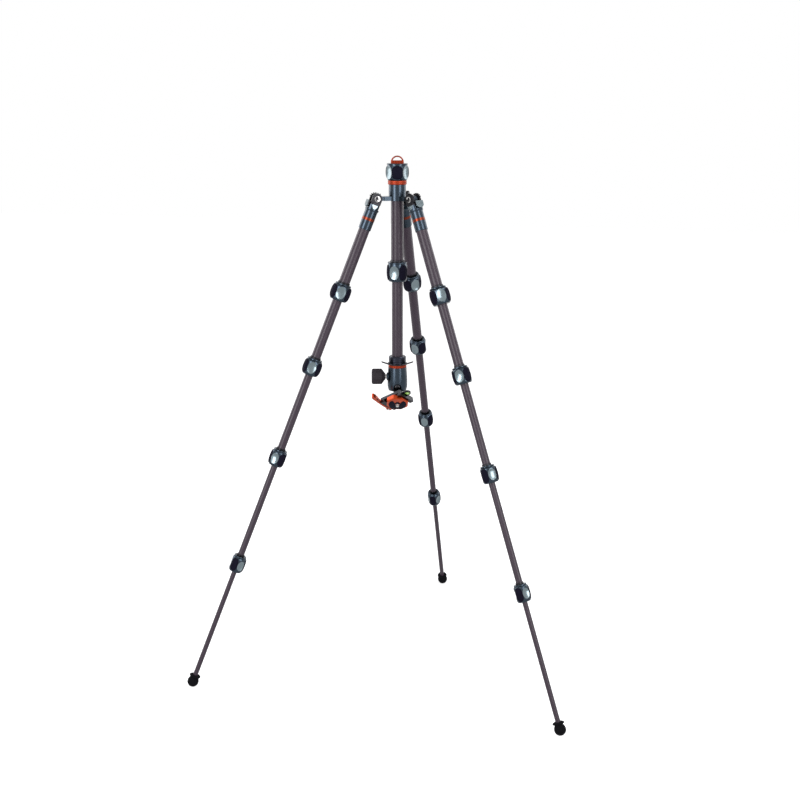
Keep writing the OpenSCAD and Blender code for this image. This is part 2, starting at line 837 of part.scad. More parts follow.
module leg_shoulder(leg) {
    inner = tongue_w / 2 + slide_gap;
    ear_w = shoulder_w / 2 - inner;
    latch_slot_w = latch_tongue_w / 2 + slide_gap;
    color(anodised) on_leg(leg) difference() {
        union() {
            for (side = [-1, 1]) translate([0, side * (inner + ear_w / 2), 0]) {
                rotate([90, 0, 0]) cylinder(h = ear_w, r = ear_r, center = true);
                translate([-ear_r, -ear_w / 2, 0]) cube([2 * ear_r, ear_w, block_s]);
            }
            intersection() {
                translate([-ear_r, -shoulder_w / 2, slot_s])
                    cube([2 * ear_r, shoulder_w, block_s - slot_s]);
                cylinder(h = block_s, r = block_round_r);
            }
            translate([0, 0, block_s]) cylinder(h = neck_s - block_s,
                r1 = block_round_r, r2 = sleeve_d / 2);
            translate([0, 0, neck_s]) cylinder(h = sleeve_end - neck_s, r = sleeve_d / 2);
        }
        translate([0, -shoulder_w, 0]) rotate([-90, 0, 0])
            cylinder(h = 2 * shoulder_w, r = bolt_r + pin_gap);
        translate([0, 0, plug_s - glue_gap])
            cylinder(h = sleeve_end, r = tube_r(1) + glue_gap);
        translate([0, 0, accent_s - accent_h / 2]) difference() {
            cylinder(h = accent_h, r = sleeve_d);
            translate([0, 0, -cut])
                cylinder(h = accent_h + 2 * cut, r = sleeve_d / 2 - ring_groove);
        }
        translate([-shoulder_w, -latch_slot_w, -slide_gap])
            cube([shoulder_w - latch_tongue_in, 2 * latch_slot_w,
                latch_top + latch_len + latch_travel]);
    }
}

module leg_latch(leg) {
    face = -block_round_r - slide_gap;
    color(dark) on_leg(leg) difference() {
        union() {
            translate([face - latch_t, -latch_w / 2, latch_top])
                cube([latch_t, latch_w, latch_len]);
            translate([face - cut, -latch_tongue_w / 2, latch_top - latch_nose])
                cube([-latch_tongue_in - slide_gap - face + cut, latch_tongue_w,
                    latch_len - cut]);
        }
        for (i = [1:serrations])
            translate([face - latch_t, 0, latch_top + i * latch_len / (serrations + 1)])
                cube([2 * serration, latch_w + cut, serration], center = true);
    }
}

module leg_accent_ring(leg) {
    color(orange) on_leg(leg) ring(sleeve_d / 2 + ring_proud,
        sleeve_d / 2 - ring_groove + glue_gap,
        accent_s - accent_h / 2 + glue_gap, accent_s + accent_h / 2 - glue_gap);
}

module leg_section(leg, n) {
    top = n == 1 ? plug_s : lock_s(n - 1) - tube_overlap;
    bottom = n == 5 ? foot_s - foot_above / 3 : lock_s(n) - ferrule_end;
    on_leg(leg) {
        color(carbon) ring(tube_r(n), tube_r(n) - tube_wall, top, bottom);
        if (n < 5) translate([0, 0, lock_s(n)]) lock_end(lock_h, tube_r(n), tube_r(n + 1));
    }
}

module leg_lock(leg, n) {
    on_leg(leg) translate([0, 0, lock_s(n)])
        twist_collar(lock_r(n), lock_h, tube_r(n), tube_r(n + 1));
}

module leg_foot(leg) {
    rim_share = 0.92;
    waist_share = 0.74;
    cap_share = 0.66;
    color(rubber) on_leg(leg) translate([0, 0, foot_s]) difference() {
        union() {
            sphere(r = foot_r);
            rotate_extrude() polygon([
                [0, 0],
                [foot_r * rim_share, -foot_above / 3],
                [foot_r * waist_share, -foot_above * 2 / 3],
                [foot_r * rim_share, -foot_above * 3 / 4],
                [foot_r * rim_share, -foot_above * 8 / 9],
                [foot_r * cap_share, -foot_above],
                [0, -foot_above]
            ]);
        }
        translate([0, 0, -foot_above - cut])
            cylinder(h = foot_above * 2 / 3 + cut, r = tube_r(5) + glue_gap);
    }
}

hub();
hinge_bolts();
column_bush();
hub_lock_knob();
column_outer_tube();
bag_hook();
column_lock();
column_inner_tube();
mounting_platform();
guard_plate();
head_base();
head_housing();
head_lock_knob();
head_ball();
ball_neck();
clamp_body();
bubble_level();
clamp_jaw();
clamp_lever();
camera_plate();
camera_screw();
leg_shoulder(1);  // leg_1_shoulder
leg_latch(1);  // leg_1_latch
leg_accent_ring(1);  // leg_1_accent_ring
leg_section(1, 1);  // leg_1_section_1
leg_section(1, 2);  // leg_1_section_2
leg_section(1, 3);  // leg_1_section_3
leg_section(1, 4);  // leg_1_section_4
leg_section(1, 5);  // leg_1_section_5
leg_lock(1, 1);  // leg_1_lock_1
leg_lock(1, 2);  // leg_1_lock_2
leg_lock(1, 3);  // leg_1_lock_3
leg_lock(1, 4);  // leg_1_lock_4
leg_foot(1);  // leg_1_foot
leg_shoulder(2);  // leg_2_shoulder
leg_latch(2);  // leg_2_latch
leg_accent_ring(2);  // leg_2_accent_ring
leg_section(2, 1);  // leg_2_section_1
leg_section(2, 2);  // leg_2_section_2
leg_section(2, 3);  // leg_2_section_3
leg_section(2, 4);  // leg_2_section_4
leg_section(2, 5);  // leg_2_section_5
leg_lock(2, 1);  // leg_2_lock_1
leg_lock(2, 2);  // leg_2_lock_2
leg_lock(2, 3);  // leg_2_lock_3
leg_lock(2, 4);  // leg_2_lock_4
leg_foot(2);  // leg_2_foot
leg_shoulder(3);  // leg_3_shoulder
leg_latch(3);  // leg_3_latch
leg_accent_ring(3);  // leg_3_accent_ring
leg_section(3, 1);  // leg_3_section_1
leg_section(3, 2);  // leg_3_section_2
leg_section(3, 3);  // leg_3_section_3
leg_section(3, 4);  // leg_3_section_4
leg_section(3, 5);  // leg_3_section_5
leg_lock(3, 1);  // leg_3_lock_1
leg_lock(3, 2);  // leg_3_lock_2
leg_lock(3, 3);  // leg_3_lock_3
leg_lock(3, 4);  // leg_3_lock_4
leg_foot(3);  // leg_3_foot
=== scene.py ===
"""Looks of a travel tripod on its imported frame: finishes, detailed pieces and a plain studio.

Pieces are drawn in millimetres in the frame of the sub-assembly that carries them, and a
matrix then puts them, in metres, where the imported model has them.
"""

import logging
import math
from collections.abc import Callable, Iterable, Sequence
from dataclasses import dataclass, field
from enum import Enum
from functools import cache

import bmesh
import bpy
from mathutils import Matrix, Vector
from mathutils.geometry import tessellate_polygon


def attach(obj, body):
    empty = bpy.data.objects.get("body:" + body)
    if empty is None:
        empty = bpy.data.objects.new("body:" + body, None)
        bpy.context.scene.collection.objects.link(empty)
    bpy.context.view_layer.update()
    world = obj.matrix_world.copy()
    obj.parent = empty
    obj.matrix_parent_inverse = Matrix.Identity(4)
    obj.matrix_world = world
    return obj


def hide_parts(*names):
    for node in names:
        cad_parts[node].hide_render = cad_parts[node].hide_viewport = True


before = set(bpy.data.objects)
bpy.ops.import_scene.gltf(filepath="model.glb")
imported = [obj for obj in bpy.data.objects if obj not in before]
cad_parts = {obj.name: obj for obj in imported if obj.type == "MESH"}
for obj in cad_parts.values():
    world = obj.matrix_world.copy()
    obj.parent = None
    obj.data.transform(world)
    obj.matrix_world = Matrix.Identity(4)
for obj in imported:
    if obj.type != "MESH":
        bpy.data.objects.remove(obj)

LOG = logging.getLogger("tripod")
MM = 0.001
# Farther out than any outline, where a limit isn't wanted
FAR = 99
# The tubes' map, which counts tows, and how many tows the twill takes to repeat
WEAVE_MAP = "wrap"
TWILL_REPEAT = 4
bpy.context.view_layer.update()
Point = tuple[float, float, float]
Colour = tuple[float, float, float]
Pair = tuple[float, float]
Outline = tuple[Pair, ...]
Profile = Sequence[Pair]


class Slot(Enum):
    """The record's material slots."""

    METAL = "anodised_metal"
    ORANGE = "orange_anodised"
    BLACK = "black_anodised"
    CARBON = "carbon_tube"
    RUBBER = "black_rubber"
    STEEL = "bright_steel"
    FLUID = "level_fluid"


def turn(axis: str, degrees: float) -> Matrix:
    """A rotation about X, Y or Z."""
    return Matrix.Rotation(math.radians(degrees), 4, axis)


def shift(x: float = 0, y: float = 0, z: float = 0) -> Matrix:
    """A move along the axes."""
    return Matrix.Translation((x, y, z))


@dataclass(frozen=True)
class Layout:
    """The stand's sizes in millimetres, and the frames that its pieces are drawn in."""

    leg_angle: float = 22
    hinge_r: float = 42.7
    head_turn: float = 15
    tube_d: float = 22
    tube_step: float = 3
    upper_len: float = 193.3
    overlap: float = 30
    plug_s: float = 40
    plug_gap: float = 3.5
    lock_d: float = 40.5
    lock_step: float = 3
    lock_h: float = 33.7
    ring_h: float = 4
    slide_gap: float = 0.3
    foot_r: float = 11.5
    foot_above: float = 15
    foot_fold_gap: float = 2.2
    ball_drop: float = 375.45
    ball_tilt: float = 44
    clamp_turn: float = 48

    @property
    def wall(self) -> float:
        """The wall of a carbon tube."""
        return self.tube_step / 2 - self.slide_gap

    def tube_r(self, n: int) -> float:
        """Outer radius of leg section n, counted from 1 at the top."""
        return (self.tube_d - (n - 1) * self.tube_step) / 2

    def lock_r(self, n: int) -> float:
        """Radius of leg lock n over its pads."""
        return (self.lock_d - (n - 1) * self.lock_step) / 2

    def draw(self, n: int) -> float:
        """How far leg section n is drawn out."""
        pitch = self.lock_h + self.ring_h + self.slide_gap
        return self.upper_len - self.overlap - self.plug_s - self.plug_gap + (n - 2) * pitch

    def lock_s(self, n: int) -> float:
        """Hinge to the middle of leg lock n."""
        if n == 1:
            return self.upper_len
        return self.lock_s(n - 1) + self.draw(n) + self.lock_h + self.ring_h + self.slide_gap

    @property
    def foot_s(self) -> float:
        """Hinge to the middle of the foot's ball."""
        return (self.lock_s(4) + self.draw(5) + self.lock_h / 2
                + self.foot_fold_gap + self.foot_above)

    @property
    def hub(self) -> Matrix:
        """The frame that lies on the column's axis, level with the hinges."""
        lean = math.radians(self.leg_angle)
        height = self.foot_s * math.cos(lean) + self.foot_r
        forward = -(self.hinge_r + self.foot_s * math.sin(lean)) / 4
        return Matrix.Scale(MM, 4) @ shift(0, forward, height)

    @property
    def column(self) -> Matrix:
        """As the hub, turned with the column and head."""
        return self.hub @ turn("Z", self.head_turn)

    @property
    def down(self) -> Matrix:
        """Down the column from hinge level."""
        return self.column @ turn("X", 180)

    @property
    def ball(self) -> Matrix:
        """The ball: +Z out along its neck."""
        return self.column @ shift(z=-self.ball_drop) @ turn("X", 180 - self.ball_tilt)

    @property
    def clamp(self) -> Matrix:
        """The clamp: +X along the jaws, +Y toward the fixed jaw."""
        return self.ball @ turn("Z", -self.clamp_turn)

    def leg(self, leg: int) -> Matrix:
        """Down one leg from its hinge, -X on its outer side."""
        return (self.hub @ turn("Z", 120 * leg - 30) @ shift(self.hinge_r)
                @ turn("Y", 180 - self.leg_angle))


LAYOUT = Layout()


# Shader expressions and finishes


class Value:
    """A shader socket in a sum: each operator adds its Math node."""

    def __init__(self, net: "Net", socket: bpy.types.NodeSocket) -> None:
        """Wrap a socket of a net."""
        self.net, self.socket = net, socket

    def __add__(self, other: "Value | float") -> "Value":
        """Sum."""
        return self.net.math("ADD", self, other)

    __radd__ = __add__

    def __mul__(self, other: "Value | float") -> "Value":
        """Product."""
        return self.net.math("MULTIPLY", self, other)

    __rmul__ = __mul__

    def __sub__(self, other: "Value | float") -> "Value":
        """Difference."""
        return self.net.math("SUBTRACT", self, other)

    def __rsub__(self, other: float) -> "Value":
        """Difference from a number."""
        return self.net.math("SUBTRACT", other, self)

    def __mod__(self, other: float) -> "Value":
        """Remainder, always positive."""
        return self.net.math("FLOORED_MODULO", self, other)

    def __lt__(self, other: "Value | float") -> "Value":
        """One where this is less, else zero."""
        return self.net.math("LESS_THAN", self, other)

    def floor(self) -> "Value":
        """Whole part."""
        return self.net.math("FLOOR", self)

    def sin(self) -> "Value":
        """Sine."""
        return self.net.math("SINE", self)


class Net:
    """The nodes of one material or world."""

    def __init__(self, owner: bpy.types.ID) -> None:
        """Start with no nodes.

        Args:
            owner: The material or world that takes the nodes.
        """
        owner.use_nodes = True
        self.tree = owner.node_tree
        self.tree.nodes.clear()

    def node(self, kind: str, values: dict[str | int, object] | None = None,
             output: str | int = 0, **settings: object) -> Value:
        """Add one node.

        Args:
            kind: The node's type without its Shader Node prefix.
            values: Numbers, colours or links by socket name or number.
            output: The socket that the result wraps.
            **settings: The node's attributes, which are set first.

        Returns:
            The chosen output.
        """
        node = self.tree.nodes.new("ShaderNode" + kind)
        for key, setting in settings.items():
            setattr(node, key, setting)
        for key, value in (values or {}).items():
            if isinstance(value, Value):
                self.tree.links.new(value.socket, node.inputs[key])
            else:
                node.inputs[key].default_value = value
        return Value(self, node.outputs[output] if node.outputs else None)

    def math(self, operation: str, *values: "Value | float") -> Value:
        """Add a Math node on one or two values."""
        return self.node("Math", dict(enumerate(values)), operation=operation)

    def noise(self, scale: float, detail: float = 2, stretch: Point = (1, 1, 1)) -> Value:
        """Noise from 0 to 1 on Object coordinates.

        Args:
            scale: Cells to a metre.
            detail: How many finer layers it has.
            stretch: Factors on the three coordinates.

        Returns:
            The noise.
        """
        place = self.node("TexCoord", output="Object")
        place = self.node("Mapping", {"Vector": place, "Scale": stretch})
        return self.node("TexNoise", {"Vector": place, "Scale": scale, "Detail": detail})

    def rays(self, *kinds: str) -> Value:
        """One on light rays of the kinds, else zero."""
        return sum(self.node("LightPath", output=f"Is {kind} Ray") for kind in kinds)

    def mix(self, amount: "Value | float", low: Colour, high: Colour) -> Value:
        """Blend two colours, whose sockets and result have the numbers 6, 7 and 2."""
        return self.node("Mix", {0: amount, 6: (*low, 1), 7: (*high, 1)}, 2,
                         data_type="RGBA", clamp_factor=True)

    def bump(self, height: Value, depth: float, strength: float = 1) -> Value:
        """A normal raised by a height from 0 to 1, depth in millimetres."""
        return self.node("Bump", {"Height": height, "Distance": depth * MM,
                                  "Strength": strength}, "Normal")

    def surface(self, **values: object) -> None:
        """End the material in a Principled shader, with its sockets named in words."""
        named = {key.replace("_", " ").title().replace("Ior", "IOR"): value
                 for key, value in values.items()}
        self.node("OutputMaterial", {"Surface": self.node("BsdfPrincipled", named)})


@dataclass(frozen=True)
class Finish:
    """A finish with its name and the slot that it belongs to."""

    name: str
    slot: Slot

    @cache
    def material(self) -> bpy.types.Material:
        """The finish's material, made once."""
        made = bpy.data.materials.new(self.name)
        self.dress(Net(made))
        return made

    def dress(self, net: Net) -> None:
        """Add the finish's nodes."""
        raise NotImplementedError


@dataclass(frozen=True)
class Anodised(Finish):
    """Anodised aluminium: fine blasted grain under a satin sheen.

    Attributes:
        light: Colour of the patches that handling has dulled.
        dark: Colour between those patches.
        roughness: Its mean roughness.
        coat: Weight of the sealed layer.
    """

    light: Colour
    dark: Colour
    roughness: float
    coat: float = 0.1

    def dress(self, net: Net) -> None:
        """Add the grain, its tone and the handling marks that dull it."""
        grain = net.noise(9000, 1)
        marks = net.noise(60, 4)
        net.surface(base_color=net.mix(marks, self.dark, self.light), metallic=0.95,
                    roughness=self.roughness + (marks - 0.5) * 0.1, coat_weight=self.coat,
                    coat_roughness=0.15, normal=net.bump(grain, 0.008, 0.3))


@dataclass(frozen=True)
class CarbonWeave(Finish):
    """Twill-woven carbon fibre under clear resin, on the tube's own map.

    Attributes:
        warp: Colour of the tows that run along the tube.
        weft: Colour of the tows that run round it.
    """

    warp: Colour = (0.04, 0.026, 0.04)
    weft: Colour = (0.024, 0.016, 0.024)

    def dress(self, net: Net) -> None:
        """Add the two-over-two twill: tows lie across or along, each one slightly crowned."""
        place = net.node("UVMap", uv_map=WEAVE_MAP)
        across = net.node("SeparateXYZ", {0: place}, "X")
        lengthwise = net.node("SeparateXYZ", {0: place}, "Y")
        over = (across.floor() + lengthwise.floor()) % TWILL_REPEAT < TWILL_REPEAT / 2
        crown_warp = ((across % 1) * math.pi).sin()
        crown_weft = ((lengthwise % 1) * math.pi).sin()
        crown = over * crown_warp + (1 - over) * crown_weft
        fibre = net.noise(2600, 2)
        tone = over * 0.6 + fibre * 0.4
        net.surface(base_color=net.mix(tone, self.weft, self.warp),
                    roughness=0.34 + fibre * 0.12, specular_ior_level=0.25,
                    coat_weight=0.16, coat_roughness=0.22, normal=net.bump(crown, 0.03, 0.35))


@dataclass(frozen=True)
class Rubber(Finish):
    """Moulded rubber: a matt skin with a fine pebble and a bloom of wear.

    Attributes:
        colour: Colour where it isn't worn.
        roughness: Roughness where it isn't worn.
        pebble: Grains to a metre.
        shine: Strength of its reflection.
    """

    colour: Colour = (0.004, 0.0035, 0.009)
    roughness: float = 0.5
    pebble: float = 1800
    shine: float = 0.03

    def dress(self, net: Net) -> None:
        """Add the pebble and the bloom."""
        pebble = net.node("TexVoronoi", {"Vector": net.node("TexCoord", output="Object"),
                                         "Scale": self.pebble}, "Distance",
                          feature="SMOOTH_F1")
        bloom = net.noise(90, 3)
        worn = tuple(1.8 * c + 0.002 for c in self.colour)
        net.surface(base_color=net.mix(bloom * 0.7, self.colour, worn),
                    roughness=self.roughness + bloom * 0.15, specular_ior_level=self.shine,
                    normal=net.bump(pebble, 0.05, 0.4))


@dataclass(frozen=True)
class TurnedSteel(Finish):
    """Bright turned steel: fine rings and a few dull patches."""

    tint: Colour = (0.62, 0.61, 0.6)

    def dress(self, net: Net) -> None:
        """Add the tool marks and the patches."""
        marks = net.noise(4000, 1, (1, 1, 0.1))
        dull = net.noise(240, 3)
        net.surface(base_color=net.mix(dull, tuple(0.72 * c for c in self.tint), self.tint),
                    metallic=1.0, roughness=0.16 + dull * 0.18, normal=net.bump(marks, 0.01, 0.4))


@dataclass(frozen=True)
class Fluid(Finish):
    """The level's tinted fluid behind clear plastic, or the pale bubble in it."""

    colour: Colour = (0.3, 0.55, 0.08)

    def dress(self, net: Net) -> None:
        """Add the fluid's depth of tone and its clear cover."""
        depth = net.noise(400, 1)
        deep = tuple(0.6 * c for c in self.colour)
        net.surface(base_color=net.mix(depth, deep, self.colour), roughness=0.12 + depth * 0.08,
                    coat_weight=1.0, coat_roughness=0.03)


@dataclass(frozen=True)
class Nylon(Finish):
    """Black nylon of the wedges, with faint flow lines."""

    def dress(self, net: Net) -> None:
        """Add the flow lines."""
        flow = net.noise(300, 3, (1, 1, 4))
        net.surface(base_color=net.mix(flow, (0.012, 0.012, 0.013), (0.03, 0.03, 0.032)),
                    roughness=0.42 + flow * 0.1)


METAL = Anodised("blue_grey_anodising", Slot.METAL, (0.036, 0.05, 0.067), (0.025, 0.036, 0.05),
                 0.24)
# A paler copy of the blue-grey metal that stands for light: a painted reflection and highlight on
# the scoops, the shoulder's facets and the latch's face and ribs.
PAINTED_REFLECTION = Anodised("painted_reflection_metal", Slot.METAL, (0.2, 0.25, 0.27), (0.15, 0.19, 0.21), 0.24)
NAVY = Anodised("navy_anodising", Slot.METAL, (0.026, 0.028, 0.042), (0.018, 0.02, 0.03), 0.27)
ORANGE = Anodised("satin_orange", Slot.ORANGE, (0.27, 0.032, 0.01), (0.22, 0.025, 0.008), 0.48)
RING = Anodised("glossy_orange", Slot.ORANGE, (0.17, 0.03, 0.012), (0.13, 0.021, 0.009), 0.26)
PLATE = Anodised("bright_orange", Slot.ORANGE, (0.46, 0.056, 0.011), (0.34, 0.036, 0.008), 0.3)
BLACK = Anodised("black_anodising", Slot.BLACK, (0.022, 0.021, 0.025), (0.013, 0.013, 0.016), 0.3)
CARBON = CarbonWeave("carbon_weave", Slot.CARBON)
RUBBER = Rubber("pad_rubber", Slot.RUBBER)
KNOB_RUBBER = Rubber("knob_rubber", Slot.RUBBER, (0.013, 0.01, 0.013), 0.55, 1800, 0.2)
FOOT_RUBBER = Rubber("foot_rubber", Slot.RUBBER, (0.003, 0.003, 0.004), 0.6, 1200)
STEEL = TurnedSteel("turned_steel", Slot.STEEL)
# Chrome tinted dark: painted shade, standing for the dark inside of the housing that the ball
# reflects.
CHROME_PAINTED_SHADE = TurnedSteel("chrome_painted_shade", Slot.STEEL, (0.05, 0.05, 0.056))
FLUID = Fluid("green_spirit", Slot.FLUID)
BUBBLE = Fluid("spirit_bubble", Slot.FLUID, (0.75, 0.9, 0.5))
NYLON = Nylon("wedge_nylon", Slot.BLACK)


# Meshes

# Points closer than this are one, in millimetres
MERGE = 0.002
# A copied solid's edges are dissolved under the first angle and rounded over the second
FLAT_EDGE = 0.6
SHARP_EDGE = 32


def polar(radius: float, degrees: float, z: float) -> Vector:
    """A point at a radius and angle about Z."""
    angle = math.radians(degrees)
    return Vector((radius * math.cos(angle), radius * math.sin(angle), z))


def along(outline: Outline, height: float) -> float:
    """Read an outline of (radius, height) points, smoothly between them.

    Args:
        outline: Points in rising order of height.
        height: Where to read it.

    Returns:
        The radius there.
    """
    last = len(outline) - 1
    k = next((i for i in range(last) if height <= outline[i + 1][1]), last - 1)
    (r0, z0), (r1, z1) = outline[k], outline[k + 1]

    def slope(i: int) -> float:
        """The outline's slope at one of its points."""
        (a, low), (b, high) = outline[max(i - 1, 0)], outline[min(i + 1, last)]
        return (b - a) / (high - low)

    span = z1 - z0
    t = min(max((height - z0) / span, 0), 1)
    return ((1 + 2 * t) * (1 - t) ** 2 * r0 + t * (1 - t) ** 2 * span * slope(k)
            + t * t * (3 - 2 * t) * r1 + t * t * (t - 1) * span * slope(k + 1))


@dataclass
class Shell:
    """Points and faces of one piece, gathered ring by ring in millimetres."""

    points: list[Vector] = field(default_factory=list)
    faces: list[tuple[int, ...]] = field(default_factory=list)
    coat: int = 0
    coats: list[int] = field(default_factory=list)

    def face(self, *points: int) -> None:
        """Add a face in the finish that the coat names."""
        self.faces.append(points)
        self.coats.append(self.coat)

    def ring(self, points: Iterable[Vector]) -> list[int]:
        """Add a row of points.

        Args:
            points: The points in order.

        Returns:
            Their numbers.
        """
        start = len(self.points)
        self.points.extend(points)
        return list(range(start, len(self.points)))

    def loft(self, rows: Sequence[Iterable[Vector]], capped: bool = False) -> list[list[int]]:
        """Join closed rows of points in turn with quads.

        Args:
            rows: The rows, each with as many points.
            capped: Whether the first and last row are filled.

        Returns:
            The numbers of each row's points.
        """
        rings = [self.ring(row) for row in rows]
        for first, second in zip(rings, rings[1:]):
            for i in range(len(first)):
                self.face(first[i - 1], first[i], second[i], second[i - 1])
        if capped:
            self.face(*rings[0])
            self.face(*rings[-1])
        return rings

    def dish(self, rows: Sequence[Iterable[Vector]], middle: Vector) -> None:
        """Join closed rows inward and close the last one on a middle point."""
        last, pole = self.loft(rows)[-1], self.ring([middle])[0]
        for i, point in enumerate(last):
            self.face(point, last[(i + 1) % len(last)], pole)

    def block(self, rows: Sequence[Sequence[Vector]],
              bore: Sequence[Sequence[Vector]] = ()) -> None:
        """Join closed outlines in turn and fill both ends, round a bore where there is one.

        Args:
            rows: The outlines, each with as many points.
            bore: The bore's outlines, from the first end to the last.
        """
        walls = [self.loft(part) for part in (rows, bore)]
        for k in (0, -1):
            edges = [part[k] for part in walls if part]
            numbers = [i for edge in edges for i in edge]
            for corners in tessellate_polygon([[self.points[i] for i in edge] for edge in edges]):
                self.face(*(numbers[i] for i in corners))

    def revolve(self, profile: Profile, sides: int = 72,
                closed: bool = False) -> None:
        """Turn a profile of radius and height about Z.

        Args:
            profile: Points from one end to the other; a zero radius makes a pole.
            sides: Steps round the axis.
            closed: Whether the last point joins the first, as round a bore.
        """
        rows = [[polar(r, 360 * i / sides, z) for i in range(sides)] for r, z in profile]
        self.loft(rows + rows[:1] if closed else rows)

    def piece(self, name: str, place: Matrix, finish: Finish, crease: float = 34,
              *others: Finish) -> bpy.types.Object:
        """Make the object, with its place in its mesh.

        Args:
            name: The object's name.
            place: The frame that the points are drawn in.
            finish: Its finish.
            crease: Edges sharper than this many degrees stay sharp.
            *others: The finishes of coats from 1.

        Returns:
            The finished object at the origin.
        """
        mesh = bpy.data.meshes.new(name)
        mesh.from_pydata(self.points, [], self.faces)
        mesh.polygons.foreach_set("material_index", self.coats)
        work = bmesh.new()
        work.from_mesh(mesh)
        bmesh.ops.remove_doubles(work, verts=work.verts, dist=MERGE)
        bmesh.ops.dissolve_degenerate(work, edges=work.edges, dist=MERGE / 4)
        bmesh.ops.recalc_face_normals(work, faces=work.faces)
        made = settled(work, mesh, name, place, finish, crease)
        for other in others:
            mesh.materials.append(other.material())
        return made


def settled(work: bmesh.types.BMesh, mesh: bpy.types.Mesh, name: str, place: Matrix,
            finish: Finish, crease: float) -> bpy.types.Object:
    """Turn a worked mesh into a painted object at the origin.

    Args:
        work: The worked mesh, which is freed.
        mesh: The mesh that takes it.
        name: The object's name.
        place: The frame of its points.
        finish: Its finish.
        crease: Edges sharper than this many degrees stay sharp.

    Returns:
        The object.
    """
    work.to_mesh(mesh)
    work.free()
    mesh.transform(place)
    mesh.shade_smooth()
    mesh.set_sharp_from_angle(angle=math.radians(crease))
    made = bpy.data.objects.new(name, mesh)
    bpy.context.scene.collection.objects.link(made)
    if mesh.materials:
        mesh.materials.clear()
    mesh.materials.append(finish.material())
    made["slot"] = finish.slot.value
    return made


def lathe(name: str, place: Matrix, finish: Finish, profile: Profile,
          sides: int = 72, closed: bool = False, crease: float = 34) -> bpy.types.Object:
    """Turn one profile into a piece.

    Args:
        name: The object's name.
        place: The frame whose Z is the axis.
        finish: Its finish.
        profile: Points of radius and height from one end to the other.
        sides: Steps round the axis.
        closed: Whether the last point joins the first, as round a bore.
        crease: Edges sharper than this many degrees stay sharp.

    Returns:
        The object.
    """
    shell = Shell()
    shell.revolve(profile, sides, closed)
    return shell.piece(name, place, finish, crease)


def refined(node: str, finish: Finish, width: float, steps: int = 2) -> bpy.types.Object:
    """Copy a CAD node's mesh, merge it and round its edges so that they catch the light.

    Args:
        node: The node.
        finish: The copy's finish.
        width: Width of the rounded edge in millimetres.
        steps: Segments across it.

    Returns:
        The copy, in its place.
    """
    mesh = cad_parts[node].data.copy()
    work = bmesh.new()
    work.from_mesh(mesh)
    bmesh.ops.remove_doubles(work, verts=work.verts, dist=MERGE * MM)
    bmesh.ops.dissolve_limit(work, angle_limit=math.radians(FLAT_EDGE), verts=work.verts,
                             edges=work.edges)
    edges = [edge for edge in work.edges
             if edge.is_manifold and edge.calc_face_angle(0) > math.radians(SHARP_EDGE)]
    bmesh.ops.bevel(work, geom=edges, offset=width * MM, segments=steps, profile=0.5,
                    affect="EDGES", clamp_overlap=True, miter_outer="ARC", loop_slide=True)
    made = settled(work, mesh, node + "_body", Matrix.Identity(4), finish, 50)
    weigh = made.modifiers.new("weigh", "WEIGHTED_NORMAL")
    weigh.keep_sharp = True
    return made


def repaint(piece: bpy.types.Object, finish: Finish, place: Matrix,
            chosen: Callable[[Vector], bool]) -> None:
    """Give some faces of a piece another finish.

    Args:
        piece: The piece.
        finish: The other finish.
        place: The frame in which the faces are chosen.
        chosen: Tells from a face's centre in that frame whether it takes the finish.
    """
    mesh, back = piece.data, place.inverted()
    mesh.materials.append(finish.material())
    for polygon in mesh.polygons:
        if chosen(back @ polygon.center):
            polygon.material_index = len(mesh.materials) - 1


class Rows(Enum):
    """The trees that repeat or sweep a shape."""

    RING = "ribs_round_an_axis"
    LINE = "ribs_in_a_row"
    THREAD = "screw_thread"


